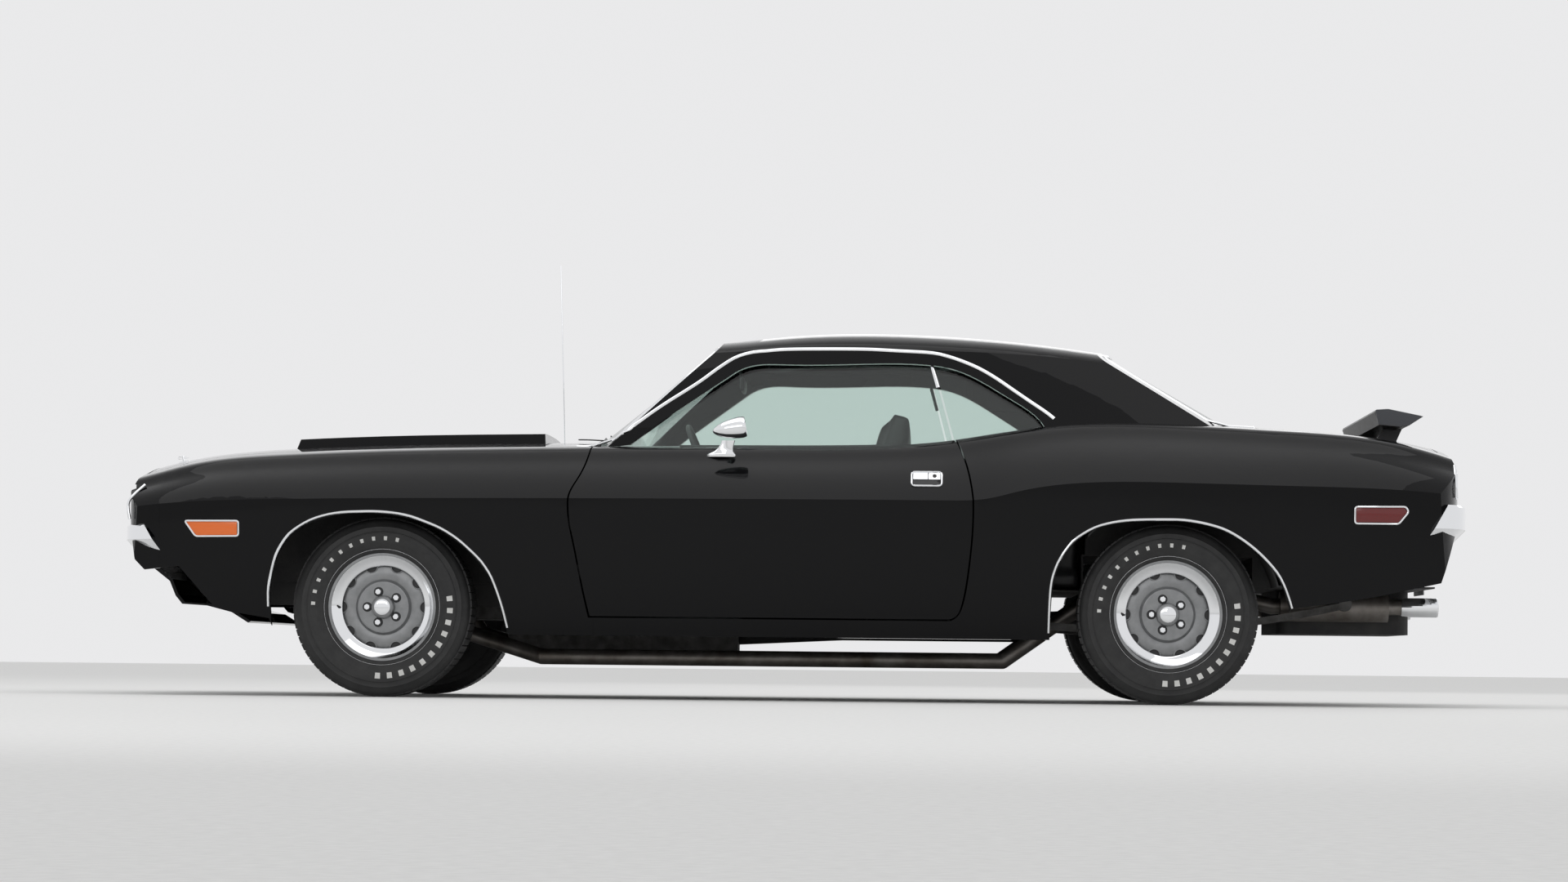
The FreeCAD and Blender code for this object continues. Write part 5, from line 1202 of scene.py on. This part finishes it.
# %% Dials and steering boss
dial_face = make_finish("dial_face", (0.012, 0.012, 0.012), 0.35, rough=(90.0, 0.3, 0.45))
dial_mark = make_finish("dial_mark", (0.75, 0.75, 0.72), 0.5, rough=(90.0, 0.45, 0.6))
DASH_X, DIAL_Z, WHEEL_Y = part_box("dashboard")[0].x, 0.775, 0.36
DIALS = ((0.15, 0.034), (0.06, 0.05), (-0.055, 0.05), (-0.145, 0.034))
for number, (offset, size) in enumerate(DIALS, start=1):
    place = (DASH_X - 0.001, WHEEL_Y + offset, DIAL_Z)
    dial = turned([(0.0, 0.003), (size, 0.003), (size, 0.0), (0.0, 0.0)], 40, dial_face, axis=(-1, 0, 0))
    rim = turned([(size, 0.0), (size, 0.006), (size + 0.002, 0.0085), (size + 0.005, 0.007),
                  (size + 0.006, 0.0)], 40, chrome, axis=(-1, 0, 0), closed=True)
    bare()
    bpy.ops.mesh.primitive_cube_add(size=1, location=(-0.0036, 0, size * 0.8))
    tick = bpy.context.object
    tick.scale = (0.001, 0.0018, size * 0.22)
    settle()
    tick.data.materials.append(dial_mark)
    start_edit()
    bpy.ops.mesh.bevel(offset=0.0003, segments=1, affect="EDGES")
    bpy.ops.mesh.select_linked()
    repeat_round(9, math.radians(30), "X")
    for kind, piece in (("", dial), ("rim_", rim), ("ticks_", tick)):
        put(piece, "dial_%s%d" % (kind, number), place)
TILT = math.radians(22)
COLUMN = (-math.cos(TILT), 0, math.sin(TILT))
boss = turned([(0.0, 0.036), (0.016, 0.035), (0.03, 0.029), (0.04, 0.018), (0.046, 0.006), (0.046, -0.004),
               (0.0, -0.004)], 36, hard_trim, axis=COLUMN)
boss_cap = turned([(0.0, 0.0385), (0.014, 0.0375), (0.0165, 0.0345), (0.0, 0.0345)], 32, chrome, axis=COLUMN)
put(boss, "steering_boss", (0.33, WHEEL_Y, 0.83), body="steering_wheel_body")
put(boss_cap, "steering_cap", (0.33, WHEEL_Y, 0.83), body="steering_wheel_body")
print("dials at", round(DASH_X, 3), DIAL_Z)

# %% Console, shifter and inside mirror
floor_hit, _ = on_panel((0.05, 0, 0.9), DOWN, ["floor_pan"])
CONSOLE_TOP = floor_hit.z + 0.11
block("console", (-0.3, -0.076, floor_hit.z - 0.01), (0.25, 0.076, CONSOLE_TOP), 0.014, hard_trim)
lever = turned([(0.0, 0.215), (0.012, 0.212), (0.021, 0.2), (0.024, 0.186), (0.02, 0.172), (0.01, 0.164),
                (0.006, 0.158), (0.006, 0.03), (0.016, 0.026), (0.034, 0.004), (0.036, -0.004),
                (0.0, -0.004)], 28, chrome, axis=(0, 0, 1))
put(lever, "shift_lever", (0.1, 0, CONSOLE_TOP), (0, math.radians(-8), 0))
block("inside_mirror", (0.205, -0.115, 1.15), (0.222, 0.115, 1.198), 0.007, hard_trim)
roof_hit, _ = on_panel((0.235, 0, 1.2), (0, 0, 1), ["body_shell", "windshield"])
stalk = [(0.215, 0, 1.19), (0.222, 0, 1.215), (0.235, 0, roof_hit.z + 0.004)]
strip("mirror_stalk", smooth_line(stalk, 8), (0, 1, 0), 0.014, 0.01, hard_trim)
print("console top", round(CONSOLE_TOP, 3), "roof inside", round(roof_hit.z, 3))

# %% [markdown]
# Last come the pieces that show when a lid is open or from behind: an air cleaner and rocker
# covers on the engine, bright exhaust tips, tail lamp frames and a blank plate. They need no
# new moves: all are turned pieces, strips and blocks.

# %% Engine dressing
ENGINE_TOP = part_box("engine")[1].z
cleaner = turned([(0.0, 0.066), (0.012, 0.066), (0.014, 0.058), (0.15, 0.056), (0.17, 0.05), (0.176, 0.042),
                  (0.174, 0.036), (0.168, 0.034), (0.168, 0.01), (0.176, 0.006), (0.172, -0.002),
                  (0.0, -0.002)], 64, satin_black, axis=(0, 0, 1))
put(cleaner, "air_cleaner", (1.19, 0, ENGINE_TOP))
for side, k in SIDES:
    low, high = sorted((k * 0.195, k * 0.268))
    block("rocker_cover_" + side, (0.96, low, ENGINE_TOP - 0.002), (1.5, high, ENGINE_TOP + 0.038), 0.01,
          argent, slot="cast_iron")
print("engine top", round(ENGINE_TOP, 3))

# %% Exhaust tips
tip_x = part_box("exhaust")[0].x
for side, k in SIDES:
    ends = [v.co for v in nodes["exhaust"].data.vertices if v.co.x < tip_x + 0.002 and v.co.y * k > 0]
    centre = sum(ends, Vector()) / len(ends)
    reach = max((p - centre).length for p in ends)
    tip = turned([(reach + 0.0005, 0.0), (reach + 0.003, -0.002), (reach + 0.006, 0.02),
                  (reach + 0.0065, 0.125), (reach + 0.005, 0.13), (reach - 0.002, 0.13),
                  (reach - 0.0035, 0.126), (0.0, 0.126)], 40, chrome, axis=(-1, 0, 0))
    put(tip, "exhaust_tip_" + side, (centre.x + 0.129, centre.y, centre.z))
    # Painted shade: a dark undercoat disc inside each tip stands for the pipe's hollow.
    bore_shade = turned([(0.0, 0.0), (reach - 0.0045, 0.0), (reach - 0.0045, 0.0012), (0.0, 0.0012)], 32, undercoat,
                  axis=(-1, 0, 0))
    put(bore_shade, "exhaust_bore_shade_" + side, (centre.x - 0.0012, centre.y, centre.z))
    print("tip", side, rounded(centre), round(reach, 4))

# %% Tail lamp frames and ribs
BACK, AHEAD = (-1, 0, 0), (1, 0, 0)
lamp = [v.co for v in nodes["marker_lamps"].data.vertices if v.co.x < -2.25 and abs(v.co.y) < 0.8]
LAMP_IN, LAMP_OUT = min(abs(p.y) for p in lamp), max(abs(p.y) for p in lamp)
LAMP_LOW, LAMP_HIGH = min(p.z for p in lamp), max(p.z for p in lamp)
for side, k in SIDES:
    corners = [(0, k * LAMP_OUT, LAMP_LOW), (0, k * LAMP_OUT, LAMP_HIGH), (0, k * LAMP_IN, LAMP_HIGH),
               (0, k * LAMP_IN, LAMP_LOW)]
    points, _ = trace(corner_loop(corners, 0.01), AHEAD, ["marker_lamps", "body_shell"])
    strip("tail_frame_" + side, points, BACK, 0.009, 0.012, chrome, closed=True)
    for number in range(1, 4):
        y = k * (LAMP_IN + (LAMP_OUT - LAMP_IN) * number / 4)
        shown = [(0, y, LAMP_LOW + (LAMP_HIGH - LAMP_LOW) * t / 6) for t in range(7)]
        points, _ = trace(shown, AHEAD, ["marker_lamps"])
        strip("tail_rib_%d_%s" % (number, side), points, BACK, 0.006, 0.008, chrome, corners=8)
print("tail lamps", rounded((LAMP_IN, LAMP_OUT, LAMP_LOW, LAMP_HIGH)))

# %% Blank plate
plate_white = make_finish("plate_white", (0.55, 0.56, 0.57), 0.5,
                          tones=(25.0, (0.52, 0.53, 0.54), (0.58, 0.59, 0.6)))
spot, _ = on_panel((-FAR, 0, 0.5), AHEAD, ["body_shell"])
block("blank_plate", (spot.x - 0.006, -0.152, 0.41), (spot.x - 0.001, 0.152, 0.558), 0.0018, plate_white)
bolt = turned([(0.0, 0.006), (0.0045, 0.0055), (0.0065, 0.003), (0.0068, 0.0), (0.0, 0.0)], 16, chrome,
              axis=BACK)
for number, y in enumerate((-0.09, 0.09), start=1):
    moved_copy(bolt, "plate_bolt_%d" % number, (spot.x - 0.006, y, 0.545))
drop(bolt)
print("blank plate at", round(spot.x, 3))
